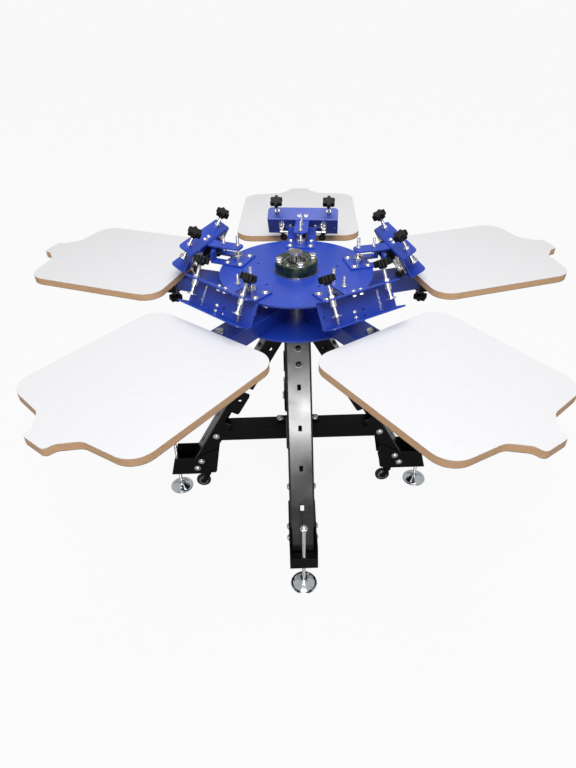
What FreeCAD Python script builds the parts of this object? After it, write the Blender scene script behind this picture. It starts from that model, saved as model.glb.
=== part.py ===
import FreeCAD, Part
import math
import os

# Rotary screen printing press, millimetres, +Z up.
# The origin is on the floor, on the axis of the carousel.
# Each sub-part is drawn in a row frame: X runs outward from the axis,
# Y runs along the rim and Z is up. It is then turned to its own row.

Vector = FreeCAD.Vector
UP = Vector(0, 0, 1)
OUTWARD = Vector(1, 0, 0)
ALONG = Vector(0, 1, 0)
CENTRE = Vector(0, 0, 0)

# Rows and rest turns, in counts and degrees
row_count = 5
leg_count = 4
first_row_angle = 90.0
lower_rest_turn = -3.0
upper_rest_turn = -6.5
head_lift_angle = 30.0

# Shared fits and cuts
overrun = 2.0
running_clearance = 0.05
seat_gap = 0.3
sheet = 4.0

# Heights of the whole press
pallet_top_height = 885.0
upper_disc_rise = 38.0

# Centre shaft and its nut
shaft_radius = 20.0
shaft_foot_depth = 95.0
shaft_neck_radius = 12.0
nut_radius = 19.0
nut_height = 27.0
nut_slot_width = 5.0
nut_slot_height = 17.0
nut_slot_depth = 4.0
nut_slot_count = 8
spacer_wall = 6.0

# Turntable discs
disc_radius = 235.0
disc_thickness = 6.0
disc_peg_hole_radius = 4.0
disc_peg_hole_reach = 130.0
bearing_radius = 62.0

# Pallet arms, inverted channels that lie on the lower disc
arm_width = 82.0
arm_height = 50.0
arm_inner_reach = 92.0
arm_outer_reach = 650.0
arm_bolt_reaches = (150.0, 205.0)
arm_edge_radius = 6.0

# Pallets
pallet_thickness = 22.0
pallet_inner_reach = 373.0
pallet_width = 450.0
pallet_length = 545.0
pallet_body_length = 463.0
pallet_corner_radius = 60.0
tab_root_length = 480.0
tab_root_half_width = 82.0
tab_root_radius = 34.0
tab_throat_length = 519.0
tab_throat_half_width = 43.0
tab_throat_radius = 22.0
tab_half_width = 38.0
tab_corner_radius = 13.0

# Pallet stop, a round buffer on the arm just inside the pallet
stop_radius = 14.5
stop_height = 17.0
stop_gap = 6.5

# Clip that hugs the arm under each pallet, and its lock knob
clip_reach = 440.0
clip_length = 70.0
clip_drop = 62.0
lock_screw_radius = 5.0
lock_stem_side = 16.0
lock_stem_length = 24.0
lock_knob_radius = 23.0
lock_knob_height = 20.0

# Star knobs
knob_lobes = 6
knob_valley_share = 0.8
knob_hub_share = 0.45
knob_hub_height = 6.0

# Hub casting on the upper disc
hub_radius = 65.0
hub_base_radius = 68.0
hub_base_height = 5.0
hub_height = 36.0
hub_edge_chamfer = 3.0
hub_bolt_reach = 55.0
hub_bolt_count = 4
hub_bolt_first_angle = 12.0
hub_bearing_radius = 37.0
hub_bearing_height = 15.0
hub_bearing_sink = 2.0
hub_seal_inner_radius = 24.0
hub_seal_outer_radius = 33.0
hub_seal_depth = 2.5

# Head bases, bent plates bolted to the upper disc
base_inner_reach = 161.0
base_outer_reach = 271.0
base_width = 96.0
base_sheet = 5.0
base_upright_height = 32.0
base_notch_width = 33.6
base_notch_reach = 226.0
base_bolt_reaches = (176.0, 219.0)
base_bolt_spacing = 68.0
cup_radius = 14.0
cup_bore_radius = 8.5
cup_height = 17.0

# Hinge of each print head
pivot_reach = 275.0
pin_radius = 5.0
ear_wall = 5.0
ear_radius = 9.5

# Frame clamp, a channel that opens outward
channel_length = 242.0
channel_height = 76.0
channel_depth = 52.0
channel_sheet = 3.5
channel_corner_radius = 13.0
channel_back_offset = 25.0
channel_top_rise = 14.0
frame_gap = 3.0
web_slot_offset = 62.0
web_slot_width = 7.0
web_slot_length = 34.0

# Tongue that reaches inward from the clamp and carries the lift stop
tongue_width = 46.0
tongue_sheet = 5.0
tongue_tip_reach = 183.0
tongue_dip = 4.0
tongue_lap = 24.0
tongue_fit = 0.5
lift_rod_reach = 197.0
lift_rod_radius = 5.0
lift_rod_stand = 34.0
lift_rod_tip_gap = 0.4
off_contact_reach = 247.0
off_contact_radius = 4.0
off_contact_stand = 22.0
off_contact_drop = 16.0
rod_nut_radius = 8.0

# Carriage block, slide rod, brackets and side knobs behind the clamp
block_width = 32.0
block_round = 13.0
block_drop = 45.0
block_depth = 18.0
slide_rod_radius = 5.0
slide_rod_drop = 32.0
slide_rod_offset = 9.0
slide_rod_half_length = 80.0
bracket_offset = 64.0
bracket_height = 42.0
bracket_depth = 17.0
bracket_foot = 15.0
bracket_sheet = 3.5
side_knob_radius = 12.0
side_knob_height = 14.0
centre_knob_radius = 13.0
centre_knob_height = 15.0

# Clamp screws
screw_spacing = 177.0
screw_depth_offset = 32.0
screw_radius = 5.0
screw_knob_radius = 22.5
screw_knob_height = 19.0
screw_knob_stand = 42.0
pad_radius = 14.5
pad_thickness = 3.0
pad_drop = 44.0
bush_radius = 8.0
bush_length = 18.0
bush_rise = 7.0

# Bearing housing under the lower disc
lower_bearing_height = 23.4
bearing_gap = 0.6

# Stand legs, channels that lean against each other
leg_foot_reach = 428.0
leg_apex_rise = 107.0
leg_width = 82.0
leg_depth = 51.0
leg_bottom_height = 113.0
leg_mitre_gap = 1.5
leg_bend_radius = 7.0
leg_side_hole_radius = 8.5
leg_side_hole_drop = 110.0
leg_slot_run_shares = (0.375, 0.526, 0.677, 0.828)
leg_slot_length = 19.0
leg_slot_width = 12.0
head_bolt_runs = (206.0, 257.0)

# Head of the stand, a cross that fills the leg tops
cross_height = 83.0
cross_toe_drop = 54.0
cross_toe_depth = 14.0
cap_radius = 75.0
cap_thickness = 8.0

# Cross braces
brace_centre_height = 291.0
brace_height = 46.0
brace_end_gap = 1.0
joint_plate_length = 150.0
joint_plate_thickness = 5.0
joint_plate_lap = 34.0
joint_plate_run = 70.0
joint_bolt_offset = 64.0
joint_bolt_inset = 18.0
butt_bolt_offset = 20.0

# Side plates on the legs, and the cut-outs of the leg's sides above and below them
side_plate_top_run_share = 0.493
side_plate_length = 96.0
side_plate_width = 44.0
side_plate_reach = 2.0
side_plate_corner_radius = 9.0
side_plate_hole_radius = 6.5
side_plate_hole_run = 38.0
side_plate_sides = (1, 1, -1, -1)
notch_depth = 28.0
upper_notch_length = 24.0
lower_notch_length = 60.0

# Foot brackets
shoe_bottom_height = 108.0
shoe_top_height = 187.0
shoe_toe_height = 142.0
shoe_top_reach = 466.0
shoe_outer_reach = 486.0
shoe_inner_reach = 352.0
shoe_heel_reach = 313.0
shoe_heel_height = 117.0
shoe_back_reach = 300.0
shoe_back_height = 195.0
shoe_neck_reach = 306.0
shoe_neck_height = 231.0
shoe_bolt_heights = (138.0, 172.0)
shoe_floor_inner_reach = 318.0

# Levelling feet
foot_reach = 466.0
foot_radius = 44.0
foot_rim_height = 5.0
foot_dome_height = 17.0
foot_neck_radius = 13.0
foot_rod_radius = 6.0
foot_rod_top_height = 312.0
foot_nut_radius = 10.5
foot_nut_height = 15.0
foot_top_nut_height = 272.0

# Castors
castor_reach = 356.0
castor_wheel_radius = 28.0
castor_wheel_width = 18.0
castor_floor_gap = 3.0
castor_trail = 20.0
castor_axle_radius = 4.0
castor_cheek = 3.0
castor_cheek_half_width = 9.0
castor_crown_thickness = 6.0
castor_crown_gap = 4.0
castor_stem_radius = 7.0
castor_turns = (90.0, 0.0, 90.0, 180.0)

# Bolt heads, which lie flat on the face that they hold
bolt_head_radius = 8.5
bolt_head_height = 5.5

# Levels and places that follow from the sizes above
arm_top = pallet_top_height - pallet_thickness
lower_disc_top = arm_top - arm_height
lower_disc_bottom = lower_disc_top - disc_thickness
upper_disc_top = pallet_top_height + upper_disc_rise
upper_disc_bottom = upper_disc_top - disc_thickness
base_top = upper_disc_top + base_sheet
hub_top = upper_disc_top + hub_height
hub_bearing_top = hub_top - hub_bearing_sink
hub_bearing_low = hub_bearing_top - hub_bearing_height
bore_radius = shaft_radius + running_clearance
channel_bottom = pallet_top_height + frame_gap
channel_top = channel_bottom + channel_height
pivot_height = channel_top - channel_top_rise
channel_back = pivot_reach + channel_back_offset
leg_top_height = lower_disc_bottom - lower_bearing_height - bearing_gap - cap_thickness
leg_apex_height = leg_top_height + leg_apex_rise
leg_slope = leg_foot_reach / (leg_apex_height - leg_bottom_height)
leg_lean = math.atan(leg_slope)
leg_length = leg_foot_reach / math.sin(leg_lean)
leg_wall_run = sheet / math.cos(leg_lean)
leg_depth_run = leg_depth / math.cos(leg_lean)
brace_width = leg_width - 2 * sheet
lift_turn = math.radians(head_lift_angle)


# Drawing helpers

def cylinder(radius, height, x, y, z, axis=UP):
    return Part.makeCylinder(radius, height, Vector(x, y, z), axis)


def box(x_low, x_high, y_low, y_high, z_low, z_high):
    corner = Vector(x_low, y_low, z_low)
    return Part.makeBox(x_high - x_low, y_high - y_low, z_high - z_low, corner)


def hexagon(radius, height, x, y, z, axis=UP):
    """Six-sided prism across its corners, as on a bolt head or a nut."""
    turn = FreeCAD.Rotation(UP, axis)
    corners = []
    for index in range(7):
        angle = math.radians(60 * index)
        spoke = Vector(radius * math.cos(angle), radius * math.sin(angle), 0)
        corners.append(turn.multVec(spoke) + Vector(x, y, z))
    face = Part.Face(Part.makePolygon(corners))
    return face.extrude(Vector(axis) * height)


def rounded_face(points, radii):
    """Flat face in the XY plane whose corners have the given radii."""
    count = len(points)
    edges = []
    spans = []
    for index in range(count):
        corner = Vector(points[index][0], points[index][1], 0)
        before = Vector(points[index - 1][0], points[index - 1][1], 0)
        after = Vector(points[(index + 1) % count][0], points[(index + 1) % count][1], 0)
        to_before = (before - corner).normalize()
        to_after = (after - corner).normalize()
        radius = radii[index]
        if radius == 0:
            spans.append((corner, corner))
            continue
        half = to_before.getAngle(to_after) / 2
        run = radius / math.tan(half)
        inward = (to_before + to_after).normalize()
        middle = corner + inward * (radius / math.sin(half) - radius)
        start = corner + to_before * run
        end = corner + to_after * run
        edges.append(Part.Arc(start, middle, end).toShape())
        spans.append((start, end))
    for index in range(count):
        start = spans[index][1]
        end = spans[(index + 1) % count][0]
        if (end - start).Length > running_clearance:
            edges.append(Part.LineSegment(start, end).toShape())
    return Part.Face(Part.Wire(Part.__sortEdges__(edges)))


def plate(points, radii, z_low, z_high):
    """Level plate with rounded corners, between two heights."""
    face = rounded_face(points, radii)
    face.translate(Vector(0, 0, z_low))
    return face.extrude(Vector(0, 0, z_high - z_low))


def side_plate(points, radii, y_low, y_high):
    """Upright plate drawn in outward and upward sizes."""
    face = rounded_face(points, radii)
    face.rotate(CENTRE, OUTWARD, 90)
    face.translate(Vector(0, y_low, 0))
    return face.extrude(Vector(0, y_high - y_low, 0))


def square_corners(points):
    return [0] * len(points)


def turned(shape, angle):
    copy = shape.copy()
    copy.rotate(CENTRE, UP, angle)
    return copy


def joined(shapes):
    whole = shapes[0]
    if len(shapes) > 1:
        whole = whole.fuse(shapes[1:])
    return whole.removeSplitter()


def bolt_head(x, y, z, axis=UP):
    """Head of a hexagon bolt, seated on the given point."""
    return hexagon(bolt_head_radius, bolt_head_height, x, y, z, axis)


def row_angle(row, rest_turn):
    return first_row_angle + rest_turn + row * 360 / row_count


def leg_angle(leg):
    return first_row_angle + leg * 360 / leg_count


def leg_face(height):
    """Reach of a leg's outer face at a height."""
    return (leg_apex_height - height) * leg_slope


def raised(shape):
    """Turn a piece of the print head from printing to its raised rest."""
    copy = shape.copy()
    copy.rotate(Vector(pivot_reach, 0, pivot_height), ALONG * -1, head_lift_angle)
    return copy


def raised_point(x, z):
    dx = x - pivot_reach
    dz = z - pivot_height
    reach = pivot_reach + dx * math.cos(lift_turn) - dz * math.sin(lift_turn)
    height = pivot_height + dx * math.sin(lift_turn) + dz * math.cos(lift_turn)
    return reach, height


def star_knob(radius, height, x, y, z, axis):
    """Hand knob with round lobes that meet in valleys, its hub on the point."""
    turn = FreeCAD.Rotation(UP, axis)
    step = math.pi / knob_lobes
    valley = radius * knob_valley_share
    edges = []
    for lobe in range(knob_lobes):
        points = []
        for angle, reach in ((2 * lobe - 1, valley), (2 * lobe, radius), (2 * lobe + 1, valley)):
            points.append(Vector(reach * math.cos(angle * step), reach * math.sin(angle * step), 0))
        edges.append(Part.Arc(points[0], points[1], points[2]).toShape())
    star = Part.Face(Part.Wire(edges)).extrude(Vector(0, 0, height))
    star.translate(Vector(0, 0, knob_hub_height))
    hub = cylinder(radius * knob_hub_share, knob_hub_height, 0, 0, 0)
    knob = joined([hub, star])
    knob.Placement = FreeCAD.Placement(Vector(x, y, z), turn)
    return knob


# Stand

def leg_outline(wall, z_low, z_high):
    """Side view of a leg from its face, or from a wall behind the face."""
    inner = leg_depth_run
    return [(leg_face(z_low) - wall, z_low), (leg_face(z_high) - wall, z_high),
            (leg_face(z_high) - inner, z_high), (leg_face(z_low) - inner, z_low)]


def leg_point(run):
    """Reach and height of the point that lies a run down a leg's face."""
    height = leg_apex_height - run * math.cos(leg_lean)
    return leg_face(height), height


def leg_normal():
    return Vector(math.cos(leg_lean), 0, math.sin(leg_lean))


def face_slot(run, length, width):
    """Rectangular cutter square to a leg's face, centred a run down it."""
    reach, height = leg_point(run)
    cutter = box(-sheet - overrun, overrun, -width / 2, width / 2, -length / 2, length / 2)
    cutter.rotate(CENTRE, ALONG, -math.degrees(leg_lean))
    cutter.translate(Vector(reach, 0, height))
    return cutter


def face_edges(solid):
    """The two long edges of a leg's sloping outer face."""
    edges = []
    for edge in solid.Edges:
        bounds = edge.BoundBox
        reach = (bounds.XMin + bounds.XMax) / 2
        height = (bounds.ZMin + bounds.ZMax) / 2
        on_face = abs(reach - leg_face(height)) < running_clearance
        if on_face and bounds.YLength < running_clearance:
            edges.append(edge)
    return edges


def leg():
    outline = leg_outline(0, leg_bottom_height, leg_top_height)
    solid = side_plate(outline, square_corners(outline), -leg_width / 2, leg_width / 2)
    solid = solid.makeFillet(leg_bend_radius, face_edges(solid))
    hollow_outline = leg_outline(leg_wall_run, leg_bottom_height - overrun, leg_top_height + overrun)
    reach = leg_depth_run + overrun
    hollow_outline[2] = (leg_face(leg_top_height + overrun) - reach, leg_top_height + overrun)
    hollow_outline[3] = (leg_face(leg_bottom_height - overrun) - reach, leg_bottom_height - overrun)
    hollow = side_plate(hollow_outline, square_corners(hollow_outline),
                        sheet - leg_width / 2, leg_width / 2 - sheet)
    channel = solid.cut(hollow)
    far = leg_face(leg_bottom_height) + leg_width
    wedge = plate([(leg_mitre_gap, 0), (far + leg_mitre_gap, -far), (far + leg_mitre_gap, far)],
                  [0, 0, 0], 0, leg_apex_height)
    channel = channel.common(wedge)
    cutters = []
    for share in leg_slot_run_shares:
        cutters.append(face_slot(leg_length * share, leg_slot_length, leg_slot_width))
    hole_height = leg_top_height - leg_side_hole_drop
    reach = leg_face(hole_height) - leg_depth_run / 2
    cutters.append(cylinder(leg_side_hole_radius, leg_width + 2 * overrun, reach,
                            -leg_width / 2 - overrun, hole_height, ALONG))
    return channel.cut(cutters + leg_side_cuts())


def leg_side_cuts():
    """Cutters for a hole and two notches that pass through both sides of a leg."""
    reach = leg_width / 2 + overrun
    top = leg_length * side_plate_top_run_share
    low = top + side_plate_length
    deep = notch_depth - leg_depth
    shallow = -leg_depth - overrun
    corner = side_plate_corner_radius
    cutters = []
    for start, end in ((top - upper_notch_length, top), (low, low + lower_notch_length)):
        notch = side_plate([(shallow, -end), (deep, -end), (deep, -start), (shallow, -start)],
                           [0, corner, corner, 0], -reach, reach)
        cutters.append(notch)
    middle = side_plate_width / 2 - side_plate_reach - leg_depth
    cutters.append(cylinder(side_plate_hole_radius, 2 * reach, middle, -reach,
                            -top - side_plate_hole_run, ALONG))
    for cutter in cutters:
        cutter.rotate(CENTRE, ALONG, -math.degrees(leg_lean))
        cutter.translate(Vector(0, 0, leg_apex_height))
    return cutters


def stand_legs():
    return [turned(leg(), leg_angle(index)) for index in range(leg_count)]


def leg_head():
    """Cross that fills the tops of the legs, with a round cap on them."""
    half = leg_width / 2 - sheet - seat_gap
    low = leg_top_height - cross_height
    toe = low - cross_toe_drop
    wall = leg_wall_run
    outline = [(0, low), (leg_face(low) - wall - cross_toe_depth, low),
               (leg_face(toe) - wall - cross_toe_depth, toe), (leg_face(toe) - wall, toe),
               (leg_face(leg_top_height) - wall, leg_top_height), (0, leg_top_height)]
    arm = side_plate(outline, square_corners(outline), -half, half)
    arms = [turned(arm, leg_angle(index)) for index in range(leg_count)]
    cap = cylinder(cap_radius, cap_thickness, 0, 0, leg_top_height)
    body = joined(arms + [cap])
    bore = cylinder(shaft_radius, cross_height + cap_thickness + 2 * overrun, 0, 0, low - overrun)
    return [body.cut(bore)]


def main_shaft():
    """Fixed shaft, its slotted top nut and the spacer between the discs."""
    low = leg_top_height - shaft_foot_depth
    nut_low = hub_bearing_top + seat_gap
    shaft = cylinder(shaft_radius, hub_bearing_top - low, 0, 0, low)
    neck = cylinder(shaft_neck_radius, nut_height, 0, 0, hub_bearing_top)
    shaft = joined([shaft, neck])
    nut = cylinder(nut_radius, nut_height, 0, 0, nut_low)
    cutters = [cylinder(shaft_neck_radius, nut_height + 2 * overrun, 0, 0, nut_low - overrun)]
    for index in range(nut_slot_count):
        slot = box(nut_radius - nut_slot_depth, nut_radius + overrun, -nut_slot_width / 2,
                   nut_slot_width / 2, nut_low - overrun, nut_low + nut_slot_height)
        cutters.append(turned(slot, index * 360 / nut_slot_count))
    nut = nut.cut(cutters)
    spacer_low = lower_disc_top + seat_gap
    spacer = cylinder(shaft_radius + spacer_wall, upper_disc_bottom - seat_gap - spacer_low,
                      0, 0, spacer_low)
    spacer = spacer.cut(cylinder(shaft_radius, upper_disc_top, 0, 0, 0))
    return [shaft, nut, spacer]


def brace_reach(height):
    return leg_face(height) - leg_wall_run - brace_end_gap


def brace_channel(inner_reach):
    """Half of a cross brace, from the given reach into its leg."""
    low = brace_centre_height - brace_height / 2
    high = brace_centre_height + brace_height / 2
    outline = [(inner_reach, low), (brace_reach(low), low), (brace_reach(high), high),
               (inner_reach, high)]
    solid = side_plate(outline, square_corners(outline), -brace_width / 2, brace_width / 2)
    hollow = box(inner_reach - overrun, leg_face(0), sheet - brace_width / 2,
                 brace_width / 2 - sheet, low - overrun, high - sheet)
    return solid.cut(hollow)


def cross_braces():
    """One long brace, a rear one that laps over it and a front one that butts."""
    low = brace_centre_height - brace_height / 2
    high = brace_centre_height + brace_height / 2
    inner = brace_width / 2
    gap = brace_end_gap
    long_brace = joined([brace_channel(0), turned(brace_channel(0), 180)])
    half = joint_plate_length / 2
    lap = plate([(inner - joint_plate_lap, -half), (inner + gap, -half), (inner + gap, -inner),
                 (inner + joint_plate_run, -inner), (inner + joint_plate_run, inner),
                 (inner + gap, inner), (inner + gap, half), (inner - joint_plate_lap, half)],
                [0] * 8, high, high + joint_plate_thickness)
    rear = joined([brace_channel(inner + gap), lap])
    butt = box(inner, inner + joint_plate_thickness, -inner, inner, low, high)
    front = joined([brace_channel(inner), butt])
    return [long_brace, turned(rear, 90), turned(front, 270)]


def leg_side_plates():
    """Flat strap on one side of each leg, between the notches, with a hole."""
    plates = []
    half = side_plate_width / 2
    corner = side_plate_corner_radius
    for index in range(leg_count):
        strap = plate([(-half, -side_plate_length), (half, -side_plate_length), (half, 0), (-half, 0)],
                      [corner, 0, 0, corner], 0, sheet)
        hole = cylinder(side_plate_hole_radius, sheet + 2 * overrun, 0,
                        -side_plate_hole_run, -overrun)
        strap = strap.cut(hole)
        strap.rotate(CENTRE, OUTWARD, 90)
        strap.translate(Vector(0, (sheet + side_plate_sides[index] * (leg_width + sheet)) / 2, 0))
        strap.rotate(CENTRE, ALONG, -math.degrees(leg_lean))
        reach, height = leg_point(leg_length * side_plate_top_run_share)
        inner = leg_normal() * (side_plate_width / 2 - side_plate_reach - leg_depth)
        strap.translate(Vector(reach, 0, height) + inner)
        plates.append(turned(strap, leg_angle(index)))
    return plates


def foot_bracket():
    """Shoe that clasps the leg's foot: two cheeks, a low toe and a floor."""
    inner = leg_width / 2
    outer = inner + sheet
    outline = [(shoe_outer_reach, shoe_bottom_height), (shoe_top_reach, shoe_top_height),
               (leg_face(shoe_top_height), shoe_top_height),
               (shoe_neck_reach, shoe_neck_height), (shoe_back_reach, shoe_back_height),
               (shoe_heel_reach, shoe_heel_height), (shoe_inner_reach, shoe_bottom_height)]
    radii = square_corners(outline)
    cheeks = [side_plate(outline, radii, -outer, -inner), side_plate(outline, radii, inner, outer)]
    slant = (shoe_outer_reach - shoe_top_reach) / (shoe_top_height - shoe_bottom_height)
    toe_reach = shoe_outer_reach - (shoe_toe_height - shoe_bottom_height) * slant
    toe_outline = [(shoe_outer_reach, shoe_bottom_height), (toe_reach, shoe_toe_height),
                   (toe_reach - sheet, shoe_toe_height), (shoe_outer_reach - sheet, shoe_bottom_height)]
    toe = side_plate(toe_outline, square_corners(toe_outline), -inner, inner)
    floor = box(shoe_floor_inner_reach, shoe_outer_reach - sheet, -inner, inner,
                shoe_bottom_height, shoe_bottom_height + sheet)
    shoe = joined(cheeks + [toe, floor])
    rod_hole = cylinder(foot_rod_radius + running_clearance, sheet + 2 * overrun,
                        foot_reach, 0, shoe_bottom_height - overrun)
    stem_hole = cylinder(castor_stem_radius + running_clearance, sheet + 2 * overrun,
                         castor_reach, 0, shoe_bottom_height - overrun)
    return shoe.cut([rod_hole, stem_hole])


def foot_brackets():
    return [turned(foot_bracket(), leg_angle(index)) for index in range(leg_count)]


def stand_bolts():
    """Bolt heads of the legs, shoes and braces, and the nuts of the foot rods."""
    pieces = []
    for index in range(leg_count):
        own = []
        for run in head_bolt_runs:
            reach, height = leg_point(run)
            own.append(bolt_head(reach, 0, height, leg_normal()))
        for side in (-1, 1):
            for height in shoe_bolt_heights:
                reach = leg_face(height) - leg_depth_run / 2
                own.append(bolt_head(reach, side * (leg_width / 2 + sheet), height, ALONG * side))
            reach = leg_face(brace_centre_height) - leg_depth_run / 2
            own.append(bolt_head(reach, side * leg_width / 2, brace_centre_height, ALONG * side))
        floor_top = shoe_bottom_height + sheet
        nut = hexagon(foot_nut_radius, foot_nut_height, foot_reach, 0, floor_top)
        bore = cylinder(foot_rod_radius + running_clearance, foot_nut_height + 2 * overrun,
                        foot_reach, 0, floor_top - overrun)
        own.append(nut.cut(bore))
        pieces += [turned(piece, leg_angle(index)) for piece in own]
    for side in (-1, 1):
        top = brace_centre_height + brace_height / 2 + joint_plate_thickness
        pieces.append(turned(bolt_head(joint_bolt_inset, side * joint_bolt_offset, top), 90))
        reach = brace_width / 2 - sheet
        head = bolt_head(reach, side * butt_bolt_offset, brace_centre_height, OUTWARD * -1)
        pieces.append(turned(head, 270))
    return pieces


# Levelling feet and castors

def levelling_foot(index):
    """Round pad, domed towards its neck, on a long threaded rod with a top nut."""
    rim = cylinder(foot_radius, foot_rim_height, 0, 0, 0)
    dome = Part.makeCone(foot_radius - foot_rim_height, foot_neck_radius, foot_dome_height,
                         Vector(0, 0, foot_rim_height), UP)
    rod_low = foot_rim_height + foot_dome_height
    rod = cylinder(foot_rod_radius, foot_rod_top_height - rod_low, 0, 0, rod_low)
    nut = hexagon(foot_nut_radius, foot_nut_height, 0, 0, foot_top_nut_height)
    foot = joined([rim, dome, rod, nut])
    foot.translate(Vector(foot_reach, 0, 0))
    return [turned(foot, leg_angle(index))]


def wheel_centre_height():
    return castor_floor_gap + castor_wheel_radius


def castor_fork(index):
    """Swivel fork: a stem in the shoe's floor, a crown and two cheeks."""
    crown_top = shoe_bottom_height - seat_gap
    wheel_top = wheel_centre_height() + castor_wheel_radius
    crown_low = wheel_top + castor_crown_gap
    inner = castor_wheel_width / 2 + 2 * seat_gap
    outer = inner + castor_cheek
    half = castor_cheek_half_width
    stem = cylinder(castor_stem_radius, crown_top + sheet - crown_low, 0, 0, crown_low)
    collar = cylinder(outer, crown_top - crown_low, 0, 0, crown_low)
    outline = [(-half, crown_low + castor_crown_thickness), (half, crown_low + castor_crown_thickness),
               (castor_trail + half, wheel_centre_height() - half),
               (castor_trail - half, wheel_centre_height() - half)]
    cheeks = [side_plate(outline, [0, 0, half / 2, half / 2], -outer, -inner),
              side_plate(outline, [0, 0, half / 2, half / 2], inner, outer)]
    crown = box(-half, half, -outer, outer, crown_low, crown_low + castor_crown_thickness)
    axle = cylinder(castor_axle_radius, 2 * outer, castor_trail, -outer,
                    wheel_centre_height(), ALONG)
    fork = joined([stem, collar, crown, axle] + cheeks)
    fork.rotate(CENTRE, UP, castor_turns[index])
    fork.translate(Vector(castor_reach, 0, 0))
    return [turned(fork, leg_angle(index))]


def castor_wheel(index):
    half = castor_wheel_width / 2
    wheel = cylinder(castor_wheel_radius, castor_wheel_width, castor_trail, -half,
                     wheel_centre_height(), ALONG)
    rims = [edge for edge in wheel.Edges if edge.isClosed() and len(edge.Vertexes) == 1]
    wheel = wheel.makeChamfer(half / 3, rims)
    bore = cylinder(castor_axle_radius + running_clearance, castor_wheel_width + 2 * overrun,
                    castor_trail, -half - overrun, wheel_centre_height(), ALONG)
    wheel = wheel.cut(bore)
    wheel.rotate(CENTRE, UP, castor_turns[index])
    wheel.translate(Vector(castor_reach, 0, 0))
    return [turned(wheel, leg_angle(index))]


# Lower carousel

def lower_disc():
    disc = cylinder(disc_radius, disc_thickness, 0, 0, lower_disc_bottom)
    bore = cylinder(bore_radius, disc_thickness + 2 * overrun, 0, 0, lower_disc_bottom - overrun)
    return [disc.cut(bore)]


def lower_bearing():
    low = lower_disc_bottom - lower_bearing_height
    flange = cylinder(bearing_radius, disc_thickness, 0, 0, lower_disc_bottom - disc_thickness)
    barrel = cylinder(shaft_radius + 2 * disc_thickness, lower_bearing_height, 0, 0, low)
    bore = cylinder(bore_radius, lower_disc_bottom, 0, 0, low - overrun)
    return [joined([flange, barrel]).cut(bore)]


def pallet_arm():
    half = arm_width / 2
    solid = box(arm_inner_reach, arm_outer_reach, -half, half, lower_disc_top, arm_top)
    edges = [edge for edge in solid.Edges
             if edge.BoundBox.ZMin == edge.BoundBox.ZMax == solid.BoundBox.ZMax
             and edge.BoundBox.YMin == edge.BoundBox.YMax]
    solid = solid.makeFillet(arm_edge_radius, edges)
    hollow = box(arm_inner_reach - overrun, arm_outer_reach + overrun, sheet - half, half - sheet,
                 lower_disc_top - overrun, arm_top - sheet)
    return solid.cut(hollow)


def pallet_arms():
    return [turned(pallet_arm(), row_angle(row, lower_rest_turn)) for row in range(row_count)]


def arm_bolts():
    pieces = []
    for row in range(row_count):
        for reach in arm_bolt_reaches:
            pieces.append(turned(bolt_head(reach, 0, arm_top), row_angle(row, lower_rest_turn)))
    return pieces


def pallet_stops():
    """Round buffers on the arms that the pallets are pushed against."""
    pieces = []
    reach = pallet_inner_reach - stop_gap - stop_radius
    for row in range(row_count):
        stop = cylinder(stop_radius, stop_height, reach, 0, arm_top)
        pieces.append(turned(stop, row_angle(row, lower_rest_turn)))
    return pieces


def pallet_board():
    half = pallet_width / 2
    inner = pallet_inner_reach
    outline = [(inner, -half), (inner + pallet_body_length, -half),
               (inner + tab_root_length, -tab_root_half_width),
               (inner + tab_throat_length, -tab_throat_half_width),
               (inner + pallet_length, -tab_half_width),
               (inner + pallet_length, tab_half_width),
               (inner + tab_throat_length, tab_throat_half_width),
               (inner + tab_root_length, tab_root_half_width),
               (inner + pallet_body_length, half), (inner, half)]
    corner = pallet_corner_radius
    radii = [corner, corner, tab_root_radius, tab_throat_radius, tab_corner_radius,
             tab_corner_radius, tab_throat_radius, tab_root_radius, corner, corner]
    return plate(outline, radii, arm_top, pallet_top_height)


def pallet_clip():
    """Saddle under a pallet that hugs its arm and carries the lock screw."""
    inner = arm_width / 2 + seat_gap
    outer = inner + sheet
    low = arm_top - clip_drop
    start = clip_reach - clip_length / 2
    end = clip_reach + clip_length / 2
    saddle = box(start, end, -outer, outer, low, arm_top)
    saddle = saddle.cut(box(start - overrun, end + overrun, -inner, inner, low + sheet,
                            arm_top + overrun))
    hole = cylinder(lock_screw_radius + running_clearance, sheet + 2 * overrun, clip_reach, 0,
                    low - overrun)
    return saddle.cut(hole)


def pallet(row):
    angle = row_angle(row, lower_rest_turn)
    return [turned(pallet_board(), angle), turned(pallet_clip(), angle)]


def pallet_knob(row):
    """Lock knob under a pallet, with a square stem and a clamping screw."""
    clip_low = arm_top - clip_drop
    stem_low = clip_low - seat_gap - lock_stem_length
    tip = arm_top - sheet - seat_gap
    screw = cylinder(lock_screw_radius, tip - stem_low, clip_reach, 0, stem_low)
    side = lock_stem_side / 2
    stem = box(clip_reach - side, clip_reach + side, -side, side, stem_low, clip_low - seat_gap)
    knob = star_knob(lock_knob_radius, lock_knob_height, clip_reach, 0, stem_low, UP * -1)
    solid = joined([screw, stem, knob])
    return [turned(solid, row_angle(row, lower_rest_turn))]


# Upper carousel

def upper_disc():
    disc = cylinder(disc_radius, disc_thickness, 0, 0, upper_disc_bottom)
    cutters = [cylinder(bore_radius, disc_thickness + 2 * overrun, 0, 0,
                        upper_disc_bottom - overrun)]
    for row in range(row_count):
        peg = cylinder(disc_peg_hole_radius, disc_thickness + 2 * overrun, disc_peg_hole_reach, 0,
                       upper_disc_bottom - overrun)
        cutters.append(turned(peg, row_angle(row, upper_rest_turn) + 180 / row_count))
    return [disc.cut(cutters)]


def hub_bolt_angle(index):
    return hub_bolt_first_angle + index * 360 / hub_bolt_count


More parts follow.
